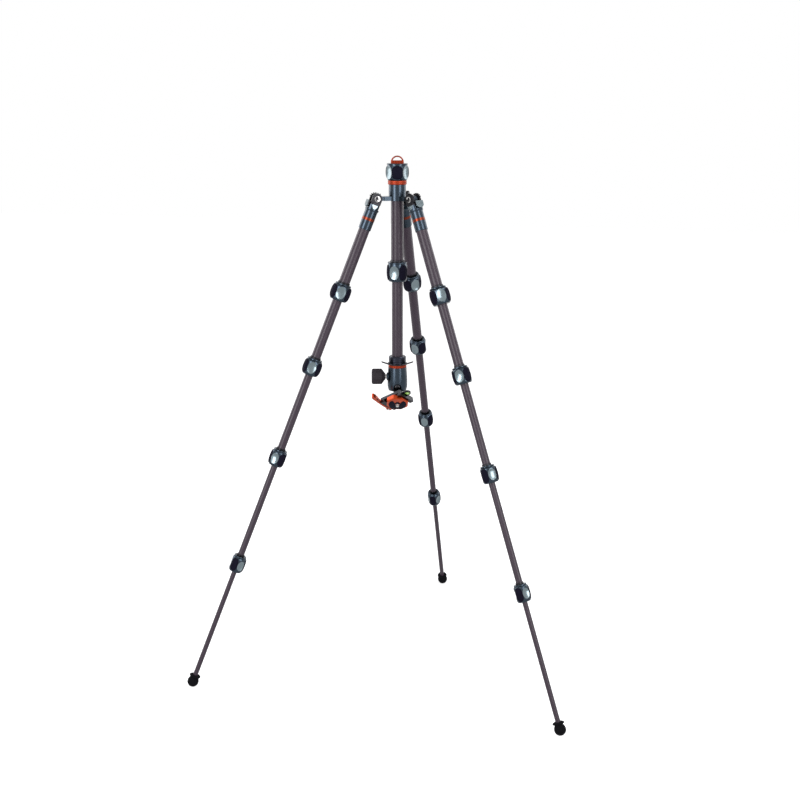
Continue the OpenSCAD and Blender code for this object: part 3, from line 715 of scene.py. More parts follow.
class Tree:
    """One Geometry Nodes tree with named inputs, ending in real mesh with its material."""

    def __init__(self, kind: Rows, inputs: dict[str, float | int]) -> None:
        """Start the tree.

        Args:
            kind: Which tree it is.
            inputs: Its named sizes and counts, with their first values.
        """
        self.tree = bpy.data.node_groups.new(kind.value, "GeometryNodeTree")
        self.sockets: dict[str, str] = {}
        for name, value in inputs.items():
            whole = isinstance(value, int)
            socket = self.tree.interface.new_socket(
                name, in_out="INPUT", socket_type="NodeSocketInt" if whole else "NodeSocketFloat")
            socket.default_value = value
            self.sockets[name] = socket.identifier
        paint = self.tree.interface.new_socket(
            "Material", in_out="INPUT", socket_type="NodeSocketMaterial")
        self.sockets["Material"] = paint.identifier
        self.tree.interface.new_socket("Geometry", in_out="OUTPUT",
                                       socket_type="NodeSocketGeometry")
        self.inputs = self.tree.nodes.new("NodeGroupInput")

    def node(self, kind: str, values: dict[str | int, object],
             **settings: object) -> bpy.types.Node:
        """Add one node.

        Args:
            kind: The node's full type.
            values: Numbers, nodes for their first output, or input names, by socket.
            **settings: The node's attributes, which are set first.

        Returns:
            The node.
        """
        node = self.tree.nodes.new(kind)
        for key, setting in settings.items():
            setattr(node, key, setting)
        for key, value in values.items():
            if isinstance(value, str):
                self.tree.links.new(self.inputs.outputs[value], node.inputs[key])
            elif isinstance(value, bpy.types.Node):
                self.tree.links.new(value.outputs[0], node.inputs[key])
            else:
                node.inputs[key].default_value = value
        return node

    def repeat_bar(self, sides: int, points: bpy.types.Node, rotation: Point) -> None:
        """Stand a round bar of the inputs' width and length on each point, and end there.

        Args:
            sides: Sides of the bar.
            points: The node that makes the points.
            rotation: How the bars are turned, in radians.
        """
        radius = self.node("ShaderNodeMath", {0: "Width", 1: 0.5}, operation="MULTIPLY")
        bar = self.node("GeometryNodeMeshCylinder",
                        {"Vertices": sides, "Radius": radius, "Depth": "Length"},
                        fill_type="NGON")
        self.end(self.node("GeometryNodeInstanceOnPoints",
                           {0: points, 2: bar, "Rotation": rotation}))

    def end(self, last: bpy.types.Node) -> None:
        """Make the result real, give it its material and put it out."""
        real = self.node("GeometryNodeRealizeInstances", {0: last})
        paint = self.node("GeometryNodeSetMaterial", {0: real, "Material": "Material"})
        self.node("NodeGroupOutput", {0: paint})

    def grow(self, name: str, place: Matrix, finish: Finish,
             **sizes: float | int) -> bpy.types.Object:
        """Run the tree and keep its result as a plain mesh.

        Args:
            name: The object's name.
            place: The frame that the tree's shape is drawn in.
            finish: Its finish.
            **sizes: Values of the tree's inputs, named as they are.

        Returns:
            The object, with no modifier.
        """
        holder = bpy.data.objects.new(name, bpy.data.meshes.new(name + "_seed"))
        bpy.context.scene.collection.objects.link(holder)
        modifier = holder.modifiers.new("grow", "NODES")
        modifier.node_group = self.tree
        for key, value in sizes.items():
            modifier[self.sockets[key.title()]] = value
        modifier[self.sockets["Material"]] = finish.material()
        grown = bpy.data.meshes.new_from_object(
            holder.evaluated_get(bpy.context.evaluated_depsgraph_get()))
        bpy.data.objects.remove(holder)
        work = bmesh.new()
        work.from_mesh(grown)
        bmesh.ops.recalc_face_normals(work, faces=work.faces)
        return settled(work, grown, name, place, finish, 40)


def ring_tree() -> Tree:
    """Ribs stood round an axis: round bars, laid along it and half sunk."""
    tree = Tree(Rows.RING, {"Count": 24, "Radius": 10.0, "Width": 1.0, "Length": 4.0})
    circle = tree.node("GeometryNodeMeshCircle", {"Vertices": "Count", "Radius": "Radius"})
    tree.repeat_bar(8, circle, (0, 0, 0))
    return tree


def line_tree() -> Tree:
    """Ribs in a row along Z, each a round bar laid across it along Y."""
    tree = Tree(Rows.LINE, {"Count": 5, "Pitch": 2.0, "Width": 1.0, "Length": 8.0})
    step = tree.node("ShaderNodeCombineXYZ", {"Z": "Pitch"})
    line = tree.node("GeometryNodeMeshLine", {"Count": "Count", "Offset": step}, mode="OFFSET")
    tree.repeat_bar(10, line, (math.pi / 2, 0, 0))
    return tree


def thread_tree() -> Tree:
    """A screw thread: a ridge swept along a helix."""
    tree = Tree(Rows.THREAD, {"Turns": 4.0, "Radius": 3.0, "Height": 5.0, "Ridge": 0.4})
    helix = tree.node("GeometryNodeCurveSpiral",
                      {"Resolution": 40, "Rotations": "Turns", "Start Radius": "Radius",
                       "End Radius": "Radius", "Height": "Height"})
    ridge = tree.node("GeometryNodeCurvePrimitiveCircle", {"Resolution": 6, "Radius": "Ridge"})
    tree.end(tree.node("GeometryNodeCurveToMesh", {0: helix, 1: ridge, "Fill Caps": True}))
    return tree


@cache
def tree_of(kind: Rows) -> Tree:
    """The tree of a kind, made once."""
    makers = {Rows.RING: ring_tree, Rows.LINE: line_tree, Rows.THREAD: thread_tree}
    return makers[kind]()


def joined(name: str, *parts: bpy.types.Object) -> bpy.types.Object:
    """Join pieces that share a body into one object.

    Args:
        name: The object's name.
        *parts: The pieces.

    Returns:
        The joined object, which keeps each part's material.
    """
    with bpy.context.temp_override(active_object=parts[0], object=parts[0],
                                   selected_objects=list(parts),
                                   selected_editable_objects=list(parts)):
        bpy.ops.object.join()
    parts[0].name = parts[0].data.name = name
    return parts[0]


def place_on(body: str, piece: bpy.types.Object, node: str) -> None:
    """Let a piece ride on a body and stand for its CAD node, and report it."""
    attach(piece, body)
    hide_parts(node)
    LOG.info("%s on %s: %d faces", piece.name, body, len(piece.data.polygons))


def dress(body: str, node: str, finish: Finish, width: float, steps: int = 2) -> None:
    """Let a refined copy of a CAD node stand for it on its body.

    Args:
        body: The body.
        node: The node.
        finish: The copy's finish.
        width: Width of its rounded edges in millimetres.
        steps: Segments across them.
    """
    place_on(body, refined(node, finish, width, steps), node)


# Shared sub-assemblies


class Flange(Enum):
    """Outlines of a grip's flange at its hub end, as shares of its radius and height."""

    LEG = ((0.77, -0.5), (0.8, -0.48), (0.8, -0.44), (0.755, -0.42))
    COLUMN = ((0.87, -0.5), (0.9, -0.48), (0.9, -0.44), (0.855, -0.42))


@dataclass
class Grip:
    """A twist lock's collar, with three rubber pads between three scoops.

    Outlines are shares of the radius and height, and so are the other sizes. The pads' gap and
    the scoops' width are in degrees, and the corner is the power of a squarish oval.

    Attributes:
        radius: Radius over the pads.
        height: Height of the collar.
        first_pad: Angle of the first pad about the axis.
        flange: Its flange.
        bores: Inner profile from the hub end, as radius and height from the middle.
    """

    radius: float
    height: float
    first_pad: float
    flange: Flange
    bores: Profile
    outline: Outline = ((0.87, -0.37), (0.91, -0.3), (0.94, -0.12), (0.94, 0.12), (0.9, 0.34),
                        (0.84, 0.45), (0.78, 0.5))
    pad_outline: Outline = ((0.9, -0.38), (0.96, -0.28), (0.99, -0.12), (1, 0.02), (0.99, 0.16),
                            (0.955, 0.3), (0.9, 0.44))
    low: float = -0.4
    high: float = 0.46
    lift: float = 0.03
    pad_wide: float = 0.48
    pad_tall: float = 0.41
    corner: float = 0.8
    seat: float = 0.86
    pad_gap: float = 0.7
    scoop_r: float = 1.5
    scoop_deep: float = 0.12
    scoop_wide: float = 28.5
    scoop_tall: float = 0.6
    columns: int = 20
    levels: int = 16

    def barrel(self, z: float) -> float:
        """The barrel's radius at a height."""
        return self.radius * along(self.flange.value[-1:] + self.outline, z / self.height)

    def dome(self, z: float) -> float:
        """A pad's radius at a height."""
        return self.radius * along(self.pad_outline, z / self.height)

    def scoop(self, degrees: float, z: float) -> float:
        """The radius of a scoop's sphere, at an angle from the scoop's middle."""
        angle, far = math.radians(degrees), self.radius * (1 + self.scoop_r - 2 * self.scoop_deep)
        reach = (self.scoop_r * self.radius) ** 2 - (z - self.lift * self.height) ** 2
        return far * math.cos(angle) - math.sqrt(max(reach - (far * math.sin(angle)) ** 2, 0))

    def pad_edge(self, t: float, scale: float = 1, out: float = 0) -> Pair:
        """The angle and height of a pad's edge, a squarish oval.

        Args:
            t: Where on the oval, in radians.
            scale: Its size against the whole pad.
            out: The radius at which it is read, where that is above the barrel.

        Returns:
            The angle in degrees from the pad's middle, and the height.
        """
        c, s = math.cos(t), math.sin(t)
        y = scale * self.pad_wide * self.radius * math.copysign(abs(c) ** self.corner, c)
        z = self.height * (self.lift + scale * self.pad_tall
                           * math.copysign(abs(s) ** self.corner, s))
        return math.degrees(math.asin(y / max(self.barrel(z), out))), z

    def scoop_edge(self, t: float) -> Pair:
        """The angle and height where a scoop leaves the barrel, found by halving."""
        near, far = 0.4, 1.2
        for _ in range(18):
            scale = (near + far) / 2
            degrees = scale * self.scoop_wide * math.cos(t)
            z = self.lift * self.height + scale * self.scoop_tall * self.radius * math.sin(t)
            if self.scoop(degrees, z) < self.barrel(z):
                near = scale
            else:
                far = scale
        return degrees, z

    def border(self, half: float) -> tuple[list[Pair], list[float]]:
        """Walk round a sector of the barrel.

        Args:
            half: Half of the sector's width in degrees.

        Returns:
            Its border points as angle and height, and each one's direction.
        """
        low, high = self.low * self.height, self.high * self.height
        across = [2 * half * i / self.columns - half for i in range(self.columns)]
        up = [low + (high - low) * i / self.levels for i in range(self.levels)]
        points = ([(a, low) for a in across] + [(half, z) for z in up]
                  + [(-a, high) for a in across] + [(-half, low + high - z) for z in up])
        return points, [math.atan2((2 * z - low - high) / (high - low), a / half)
                        for a, z in points]

    def land(self, middle: float, points: Profile, edge: Profile) -> list[list[Vector]]:
        """The barrel between a sector's border and the edge of its opening.

        Args:
            middle: Angle of the sector's middle.
            points: The border, as angle and height.
            edge: The edge, as angle and height.

        Returns:
            Rows of points from the border to the edge.
        """
        return [[polar(self.barrel(z + (y - z) * t), middle + a + (b - a) * t, z + (y - z) * t)
                 for (a, z), (b, y) in zip(points, edge)] for t in (0, 0.35, 0.7, 1)]

    def seat_rows(self, shell: Shell, middle: float, half: float) -> None:
        """Add one pad's sector: the barrel round it and the seat sunk for it."""
        points, ways = self.border(half)
        shell.coat = 0
        rows = self.land(middle, points, [self.pad_edge(t, 1.012) for t in ways])
        edge = [self.pad_edge(t) for t in ways]
        for sink in (0.15, 0.4):
            rows.append([polar(self.barrel(z) - sink, middle + a, z) for a, z in edge])
        rows.append([polar(self.seat * self.radius, middle + a, z) for a, z in edge])
        shell.dish(rows, polar(self.seat * self.radius, middle, self.lift * self.height))

    def scoop_rows(self, shell: Shell, middle: float, half: float) -> None:
        """Add one scoop's sector: the barrel round it, its edge and its hollow, both painted paler
        as a reflection.
        """
        points, ways = self.border(half)
        edge = [self.scoop_edge(t) for t in ways]
        centre = self.lift * self.height

        def ring(scale: float) -> list[Pair]:
            """The scoop's edge drawn in."""
            return [(scale * a, centre + scale * (z - centre)) for a, z in edge]

        shell.coat = 0
        outer = self.land(middle, points, ring(1.01))
        shell.loft(outer)
        # The scoop's edge and hollow take coat 1, the paler metal: a painted reflection.
        shell.coat = 1
        rows = [outer[-1]] + [[polar(self.scoop(a, z), middle + a, z) for a, z in ring(s)]
                              for s in (0.96, 0.9, 0.8, 0.66, 0.5, 0.33, 0.16)]
        shell.dish(rows, polar(self.scoop(0, centre), middle, centre))
        shell.coat = 0

    def collar(self, name: str, place: Matrix) -> bpy.types.Object:
        """Make the metal collar: barrel, flange, scoops, pad seats and bores."""
        shell = Shell()
        r, h = self.radius, self.height
        pad_side = self.pad_edge(0)[0] + self.pad_gap
        scoop_side = 60 - pad_side
        angles: list[float] = []
        for i in range(3):
            middle = self.first_pad + 120 * i
            self.seat_rows(shell, middle, pad_side)
            self.scoop_rows(shell, middle + 60, scoop_side)
            for start, half in ((middle, pad_side), (middle + 60, scoop_side)):
                angles += [start - half + 2 * half * k / self.columns
                           for k in range(self.columns)]
        levels = [(self.barrel(share * h), share * h) for share in (self.low, 0.485, self.high)]
        profile = [levels[0], *((a * r, b * h) for a, b in reversed(self.flange.value)),
                   *self.bores, (self.outline[-1][0] * r, self.outline[-1][1] * h), *levels[1:]]
        shell.loft([[polar(radius, a, z) for a in angles] for radius, z in profile])
        return shell.piece(name, place, METAL, 30, PAINTED_REFLECTION)

    def pads(self, name: str, place: Matrix) -> bpy.types.Object:
        """Make the three domed pads, each with a fine moulded border."""
        shell = Shell()
        steps = [math.tau * k / 56 for k in range(56)]
        centre = self.lift * self.height
        # Each row's size, its share of the dome's rise and its depth under the surface
        levels = ((0.985, 0, 0.08 * self.radius), (0.985, 0.1, 0), (0.98, 0.6, 0), (0.96, 0.9, 0),
                  (0.93, 1, 0), (0.885, 1, 0), (0.875, 1, 0.22), (0.855, 1, 0.22), (0.845, 1, 0),
                  (0.7, 1, 0), (0.5, 1, 0), (0.25, 1, 0))
        for i in range(3):
            middle = self.first_pad + 120 * i
            rows = []
            for scale, share, sink in levels:
                row = []
                for t in steps:
                    z = self.pad_edge(t, scale)[1]
                    low, top = self.barrel(z), self.dome(z)
                    out = low + (top - low) * share - sink
                    row.append(polar(out, middle + self.pad_edge(t, scale, out)[0], z))
                rows.append(row)
            shell.dish(rows, polar(self.dome(centre), middle, centre))
            shell.dish(rows[:1], polar(self.seat * self.radius, middle, centre))
        return shell.piece(name, place, RUBBER, 40)

    def build(self, node: str, place: Matrix) -> None:
        """Make the collar and its pads, on the body that has the node's name."""
        place_on(node, self.collar(node + "_collar", place), node)
        place_on(node, self.pads(node + "_pads", place), node)


@dataclass
class Tube:
    """A carbon tube with its weave's map, chamfered ends and a bored inside.

    Attributes:
        radius: Outer radius.
        inner: Inner radius.
        start: Where it begins along its axis.
        end: Where it ends.
        tow: Width of one tow of fibre.
    """

    radius: float
    inner: float
    start: float
    end: float
    tow: float = 1.5
    edge: float = 0.25

    def build(self, name: str, place: Matrix) -> bpy.types.Object:
        """Make the tube.

        Args:
            name: The object's name.
            place: Its frame.

        Returns:
            The tube, mapped in whole tows.
        """
        r, edge = self.radius, self.edge
        profile = [(self.inner, self.start), (r - edge, self.start), (r, self.start + edge),
                   (r, self.end - edge), (r - edge, self.end), (self.inner, self.end)]
        made = lathe(name, Matrix.Identity(4), CARBON, profile, 72, True, 40)
        tows = TWILL_REPEAT * round(math.tau * r / self.tow / TWILL_REPEAT)
        chart = made.data.uv_layers.new(name=WEAVE_MAP)
        for polygon in made.data.polygons:
            corners = [made.data.vertices[v].co for v in polygon.vertices]
            spins = [math.atan2(co.y, co.x) / math.tau for co in corners]
            seam = max(spins) - min(spins) > 0.5
            for loop, co, spin in zip(polygon.loop_indices, corners, spins):
                around = spin + 1 if seam and spin < 0 else spin
                chart.data[loop].uv = (around * tows, co.z / self.tow)
        made.data.transform(place)
        return made


@dataclass
class LockEnd:
    """A tube's end at a twist lock: a ferrule with its knurled ring, and a split wedge.

    Attributes:
        height: Height of the collar that screws onto it.
        outer: Radius of the tube that carries it.
        inner: Radius of the tube that slides in it.
    """

    height: float
    outer: float
    inner: float
    wall: float = 2
    ring_h: float = 4
    wedge_h: float = 11
    wedge_low: float = 1.85
    groove: float = 0.35
    groove_pitch: float = 1.3
    collar_end: float = 2.5

    @property
    def bores(self) -> list[Pair]:
        """The inside of the collar that screws onto it, from the hub end."""
        half, ferrule = self.height / 2, self.outer + self.wall + 0.35
        wedge, bore = self.inner + 2.2, self.inner + 0.3
        return [(ferrule + 0.3, -half), (ferrule, 0.4 - half), (ferrule, 0), (wedge, 0),
                (wedge, half - self.collar_end), (bore, half - self.collar_end),
                (bore, half - 0.4), (bore + 0.4, half)]

    def build(self, body: str, node: str, place: Matrix) -> None:
        """Make the ferrule and the wedge, which ride with the outer tube."""
        place_on(body, self.ferrule(node + "_ferrule", place), node)
        place_on(body, self.wedge(node + "_wedge", place), node)

    def ferrule(self, name: str, place: Matrix) -> bpy.types.Object:
        """Make the ferrule: threaded sleeve, shoulder and a knurled ring above the collar."""
        bore = self.outer + 0.05
        sleeve, ring = bore + self.wall, bore + self.wall / 2
        top, step = -self.height / 2 - self.ring_h, 1 - self.height / 2
        grooves: list[Pair] = []
        for i in range(6):
            z = -10 + i * self.groove_pitch
            grooves += [(sleeve, z), (sleeve - self.groove, z + 0.45), (sleeve, z + 0.9)]
        profile = [(bore, top), (ring - 0.4, top), (ring - 0.1, top + 0.3), (ring - 0.1, step),
                   (sleeve, step), *grooves, (sleeve, -2.3), (sleeve - 0.3, -2), (bore, -2)]
        body = lathe(name + "_body", place, BLACK, profile, 60, True)
        knurl = tree_of(Rows.RING).grow(
            name + "_knurl", place @ shift(z=top + self.ring_h / 2), BLACK,
            count=48, radius=ring - 0.2, width=0.6, length=self.ring_h - 1.2)
        return joined(name, body, knurl)

    def wedge(self, name: str, place: Matrix) -> bpy.types.Object:
        """Make the split wedge that the collar squeezes onto the inner tube."""
        bore = self.inner + 0.3
        outer = bore + 1.6
        slit = math.degrees(0.6 / bore)
        profile = [(bore, -self.wedge_low), (outer, -self.wedge_low), (outer, 4),
                   (outer - 0.5, self.wedge_h), (bore, self.wedge_h)]
        angles = [slit + (360 - 2 * slit) * i / 48 for i in range(49)]
        shell = Shell()
        shell.loft([[polar(r, a, z) for r, z in profile] for a in angles], capped=True)
        return shell.piece(name, place, NYLON)


# Legs


@dataclass
class Leg:
    """One leg: shoulder, five carbon sections, four twist locks and a rubber foot.

    Fields that end in _s or _end are places along the leg from its hinge, in millimetres.

    Attributes:
        number: 1 is the rear leg, 2 the front left and 3 the front right.
        pad_turns: Angle of each lock's first pad.
    """

    number: int
    pad_turns: tuple[float, float, float, float]
    shoulder_w: float = 24
    tongue_w: float = 14
    ear_r: float = 10
    bolt_r: float = 3.08
    round_r: float = 13.7
    sleeve_r: float = 12.45
    slot_s: float = 8.2
    flat_s: float = 12.6
    block_s: float = 20.5
    ring_s: float = 39.3
    ring_end: float = 44.7
    ring_deep: float = 0.6
    sleeve_end: float = 63
    facet_steps: int = 12
    round_steps: int = 96
    fins: tuple[float, ...] = (-168, -146, -124, -102, -80)
    fin_out: float = 1.8
    fin_t: float = 1.6
    latch_face: float = 15.3
    latch_t: float = 2.6
    latch_w: float = 20
    latch_top: float = 6.5
    latch_len: float = 14
    tongue_half: float = 2.8
    tongue_s: float = 9
    tongue_end: float = 19
    rib_pitch: float = 1.9

    @property
    def latch_back(self) -> float:
        """The latch's inner face, outward from the leg's axis."""
        return self.latch_face - self.latch_t

    @property
    def name(self) -> str:
        """The leg's name, which starts its nodes' names."""
        return f"leg_{self.number}"

    @property
    def place(self) -> Matrix:
        """The leg's frame."""
        return LAYOUT.leg(self.number)

    def build(self) -> None:
        """Make and dress every piece of the leg."""
        self.shoulder()
        self.latch()
        self.sections()
        self.locks()
        self.foot()

    def ear(self, shell: Shell, side: int) -> None:
        """Add one ear of the hinge: a round end with fins, bored for the bolt."""
        half, low, r = self.shoulder_w / 2, self.slot_s + 2, self.ear_r
        rim = [(r, a) for a in range(0, -181, -5) if all(abs(a - fin) > 5 for fin in self.fins)]
        for fin in self.fins:
            for reach, way in ((r, 1), (r + self.fin_out, 1), (r + self.fin_out, -1), (r, -1)):
                rim.append((reach, fin + way * math.degrees(self.fin_t / 2 / reach)))
        rim.sort(key=lambda point: -point[1])
        flat = [Vector((r, low)), *(polar(reach, a, 0).xy for reach, a in rim), Vector((-r, low))]
        hole = [polar(self.bolt_r, 15 * k, 0) for k in range(24)]
        levels = ((self.tongue_w / 2 + LAYOUT.slide_gap, 1), (half - 0.5, 1), (half - 0.05, 0.955))
        shell.block([[Vector((p.x * s, side * y, p.y * s)) for p in flat] for y, s in levels],
                    [[Vector((p.x, side * y, p.y)) for p in hole] for y, _ in levels])

    def block_row(self, s: float, deep: float, radius: float, wide: float = FAR,
                  back: float = FAR) -> list[Vector]:
        """The shoulder's outline at one level: a circle cut by flats.

        Args:
            s: The level along the leg.
            deep: How far the flats beside the ears are from the axis.
            radius: The circle's radius.
            wide: How far the flats across the ears are from the axis.
            back: How far the flat behind the latch is from the axis.

        Returns:
            The outline's points.
        """
        out = []
        for k in range(self.round_steps):
            way = polar(1, 360 * k / self.round_steps, 0)
            reach = min(radius, wide / max(abs(way.x), 0.01), deep / max(abs(way.y), 0.01),
                        back / max(-way.x, 0.01))
            out.append(reach * way + Vector((0, 0, s)))
        return out

    def shoulder(self) -> None:
        """Make the shoulder: black ears, facets painted pale as a reflection and a blue-grey
        sleeve; dress its ring.
        """
        node, ring = self.name + "_shoulder", self.name + "_accent_ring"
        half, r, sleeve = self.shoulder_w / 2, self.round_r, self.sleeve_r
        shell = Shell()
        for side in (-1, 1):
            self.ear(shell, side)
        rows = [self.block_row(self.slot_s, half, r, self.ear_r)]
        for k in range(self.facet_steps + 1):
            share = k / self.facet_steps
            rows.append(self.block_row(self.flat_s + (self.block_s - self.flat_s) * share,
                                       half + (r - half) * share, r, self.ear_r))
        groove, bore = sleeve - self.ring_deep, LAYOUT.tube_r(1) + 0.05
        round_part = ((r, self.block_s + 0.02), (r, self.block_s + 3), (sleeve, self.block_s + 5),
                      (sleeve, self.ring_s), (groove, self.ring_s), (groove, self.ring_end),
                      (sleeve, self.ring_end), (sleeve, self.sleeve_end - 0.4),
                      (sleeve - 0.4, self.sleeve_end), (bore, self.sleeve_end),
                      (bore, LAYOUT.plug_s))
        for radius, s in round_part:
            back = self.latch_back - 0.2 if s < self.block_s + 4 else FAR
            rows.append(self.block_row(s, FAR, radius, back=back))
        shell.dish(rows, Vector((0, 0, LAYOUT.plug_s)))
        shell.dish(rows[:1], Vector((0, 0, self.slot_s)))
        body = shell.piece(node + "_body", self.place, METAL, 30)
        repaint(body, BLACK, self.place, lambda p: p.z < self.flat_s)
        # The facets take the paler metal: a painted reflection.
        repaint(body, PAINTED_REFLECTION, self.place,
                lambda p: self.flat_s < p.z < self.block_s and abs(p.y) > half + 0.02
                and p.xy.length < r - 0.04)
        place_on(self.name, body, node)
        dress(self.name, ring, RING, 0.12, 1)

    def latch(self) -> None:
        """Make the angle latch: a round-ended pull with ribs, and the tongue behind it."""
        node = self.name + "_latch"
        # The ribs take the paler metal: a painted highlight.
        ribs = tree_of(Rows.LINE).grow(
            node + "_ribs",
            self.place @ shift(-self.latch_face, 0, self.latch_top + 1.5 * self.rib_pitch), PAINTED_REFLECTION,
            count=3, pitch=self.rib_pitch, width=0.6, length=15.0)
        half, r = self.latch_w / 2, 0.62 * self.latch_w
        centre = self.latch_top + self.latch_len - r
        edge = math.degrees(math.acos(half / r))
        arc = [polar(r, edge + (180 - 2 * edge) * k / 16, 0) for k in range(17)]
        outline = [(-half, self.latch_top), (half, self.latch_top),
                   *((p.x, centre + p.y) for p in arc)]
        middle = self.latch_top + self.latch_len / 2
        shell = Shell()
        shell.block([[Vector((-x, y * s, middle + (z - middle) * s)) for y, z in outline]
                     for x, s in ((self.latch_face, 0.94), (self.latch_face - 0.5, 1),
                                  (self.latch_back, 1))])
        tongue = ((-self.tongue_half, self.tongue_s), (self.tongue_half, self.tongue_s),
                  (self.tongue_half, self.tongue_end), (-self.tongue_half, self.tongue_end))
        shell.block([[Vector((-x, y, z)) for y, z in tongue]
                     for x in (self.latch_back + 0.1, self.ear_r - 0.2)])
        # The pull's face is painted pale as a highlight, and its sides and back are then painted
        # black as shade.
        pull = shell.piece(node + "_pull", self.place, PAINTED_REFLECTION)
        repaint(pull, BLACK, self.place,
                lambda p: -p.x < self.latch_back + 0.05 or abs(p.y) > half - 0.05)
        place_on(node, joined(node + "_ribbed", pull, ribs), node)

    def sections(self) -> None:
        """Make the five tubes with their ferrules and wedges."""
        for n in range(1, 6):
            start = LAYOUT.plug_s if n == 1 else LAYOUT.lock_s(n - 1) - LAYOUT.overlap
            end = LAYOUT.foot_s - LAYOUT.foot_above / 3 if n == 5 else LAYOUT.lock_s(n) - 2
            body = self.name if n == 1 else f"{self.name}_section_{n}"
            node = f"{self.name}_section_{n}"
            radius = LAYOUT.tube_r(n)
            tube = Tube(radius, radius - LAYOUT.wall, start, end)
            place_on(body, tube.build(node + "_tube", self.place), node)
            if n < 5:
                self.lock_end(n).build(body, node, self.place @ shift(z=LAYOUT.lock_s(n)))

    def lock_end(self, n: int) -> LockEnd:
        """The end of section n at its twist lock."""
        return LockEnd(LAYOUT.lock_h, LAYOUT.tube_r(n), LAYOUT.tube_r(n + 1))

    def locks(self) -> None:
        """Make the four twist locks."""
        for n, first_pad in enumerate(self.pad_turns, 1):
            grip = Grip(LAYOUT.lock_r(n), LAYOUT.lock_h, first_pad, Flange.LEG,
                        self.lock_end(n).bores)
            grip.build(f"{self.name}_lock_{n}", self.place @ shift(z=LAYOUT.lock_s(n)))

    def foot(self) -> None:
        """Make the rubber foot: a dimpled ball under a waisted socket with a gripping flange."""
        r, h = LAYOUT.foot_r, LAYOUT.foot_above
        bore = LAYOUT.tube_r(5) + 0.06
        ball = [tuple(polar(r, a, 0).xy) for a in range(84, -26, -6)]
        socket = [(0.9 * r, -0.36 * h), (0.78 * r, -0.52 * h), (0.74 * r, -0.62 * h),
                  (0.78 * r, -0.7 * h), (0.9 * r, -0.74 * h), (0.93 * r, -0.78 * h),
                  (0.93 * r, -0.87 * h), (0.88 * r, -0.92 * h), (0.68 * r, -h),
                  (bore + 0.4, -h), (bore, -0.97 * h), (bore, -h / 3), (0, -h / 3)]
        body = lathe(self.name + "_foot_body", self.place @ shift(z=LAYOUT.foot_s), FOOT_RUBBER,
                     [(0, r), *ball, *socket], 48, crease=45)
        studs = tree_of(Rows.RING).grow(
            self.name + "_foot_grips", self.place @ shift(z=LAYOUT.foot_s - 0.825 * h),
            FOOT_RUBBER, count=16, radius=0.93 * r, width=1.6, length=0.16 * h)
        place_on(self.name + "_section_5",
                 joined(self.name + "_foot_boot", body, studs), self.name + "_foot")


# Hub and column


@dataclass
class Hub:
    """The hub with its three arms, pivot bolts, orange bush and column lock knob.

    Heights are in millimetres above the hinges' level, and reaches along a hinge's axis.
    """

    top: float = 26.5
    flange_r: float = 18.3
    flange_h: float = 8
    knob_r: float = 22.6
    knob_h: float = 32
    column_r: float = 12.5
    pad_turn: float = 90
    key_r: float = 2.25
    bolt_reach: float = 11
    rim_reach: float = 12.02
    collet_h: float = 25.8

    def build(self) -> None:
        """Make and dress the hub's pieces."""
        dress("stand_hub", "hub", METAL, 0.4)
        self.bolts()
        self.bush()
        self.knob()

    def bolts(self) -> None:
        """Dress the pivot bolts: key holes painted black as the shade in them, and a raised rim
        round each head.
        """
        bolts = refined("hinge_bolts", STEEL, 0.25)
        rim = ((3.2, 0), (5.7, 0), (5.7, 0.7), (5.4, 1), (4.8, 1.1), (3.2, 1.1))
        rims = []
        for number in (1, 2, 3):
            hinge = LAYOUT.leg(number)
            # Each bolt's key hole is painted black: painted shade for its recess.
            repaint(bolts, BLACK, hinge,
                    lambda p: math.hypot(p.x, p.z) < self.key_r and abs(p.y) > self.bolt_reach)
            for side in (-1, 1):
                place = hinge @ turn("X", -90 * side) @ shift(z=self.rim_reach)
                rims.append(lathe(f"bolt_rim_{number}_{side + 1}", place, STEEL, rim, 40, True))
        place_on("stand_hub", joined("hinge_bolts_rimmed", bolts, *rims), "hinge_bolts")

    def bush(self) -> None:
        """Make the orange flange with its groove, and the split collet in the knob."""
        bore, r = self.column_r + 0.08, self.flange_r
        top, low = self.top + self.flange_h, self.top + 0.15
        profile = [(bore, -2.8), (bore + 1.6, -2.8), (bore + 1.6, low), (r - 0.9, low),
                   (r - 0.25, low + 0.35), (r, low + 1), (r, top - 4.1), (r - 0.3, top - 3.9),
                   (r - 0.3, top - 3.6), (r, top - 3.4), (r, top - 0.8), (r - 0.3, top - 0.25),
                   (r - 1, top), (bore + 2.4, top), (bore + 2.4, top + self.collet_h),
                   (bore, top + self.collet_h)]
        place_on("column_bush", lathe("column_bush_flange", LAYOUT.column, ORANGE, profile, 96,
                                      True, 40), "column_bush")

    def knob(self) -> None:
        """Make the column lock's knob with its three pads."""
        half = self.knob_h / 2
        bores = [(13.3, -half), (12.8, 0.5 - half), (12.8, 5 - half), (15.28, 5 - half),
                 (15.28, half)]
        grip = Grip(self.knob_r, self.knob_h, self.pad_turn, Flange.COLUMN, bores)
        grip.build("hub_lock_knob",
                   LAYOUT.column @ shift(z=self.top + self.flange_h + 0.15 + half) @ turn("X", 180))


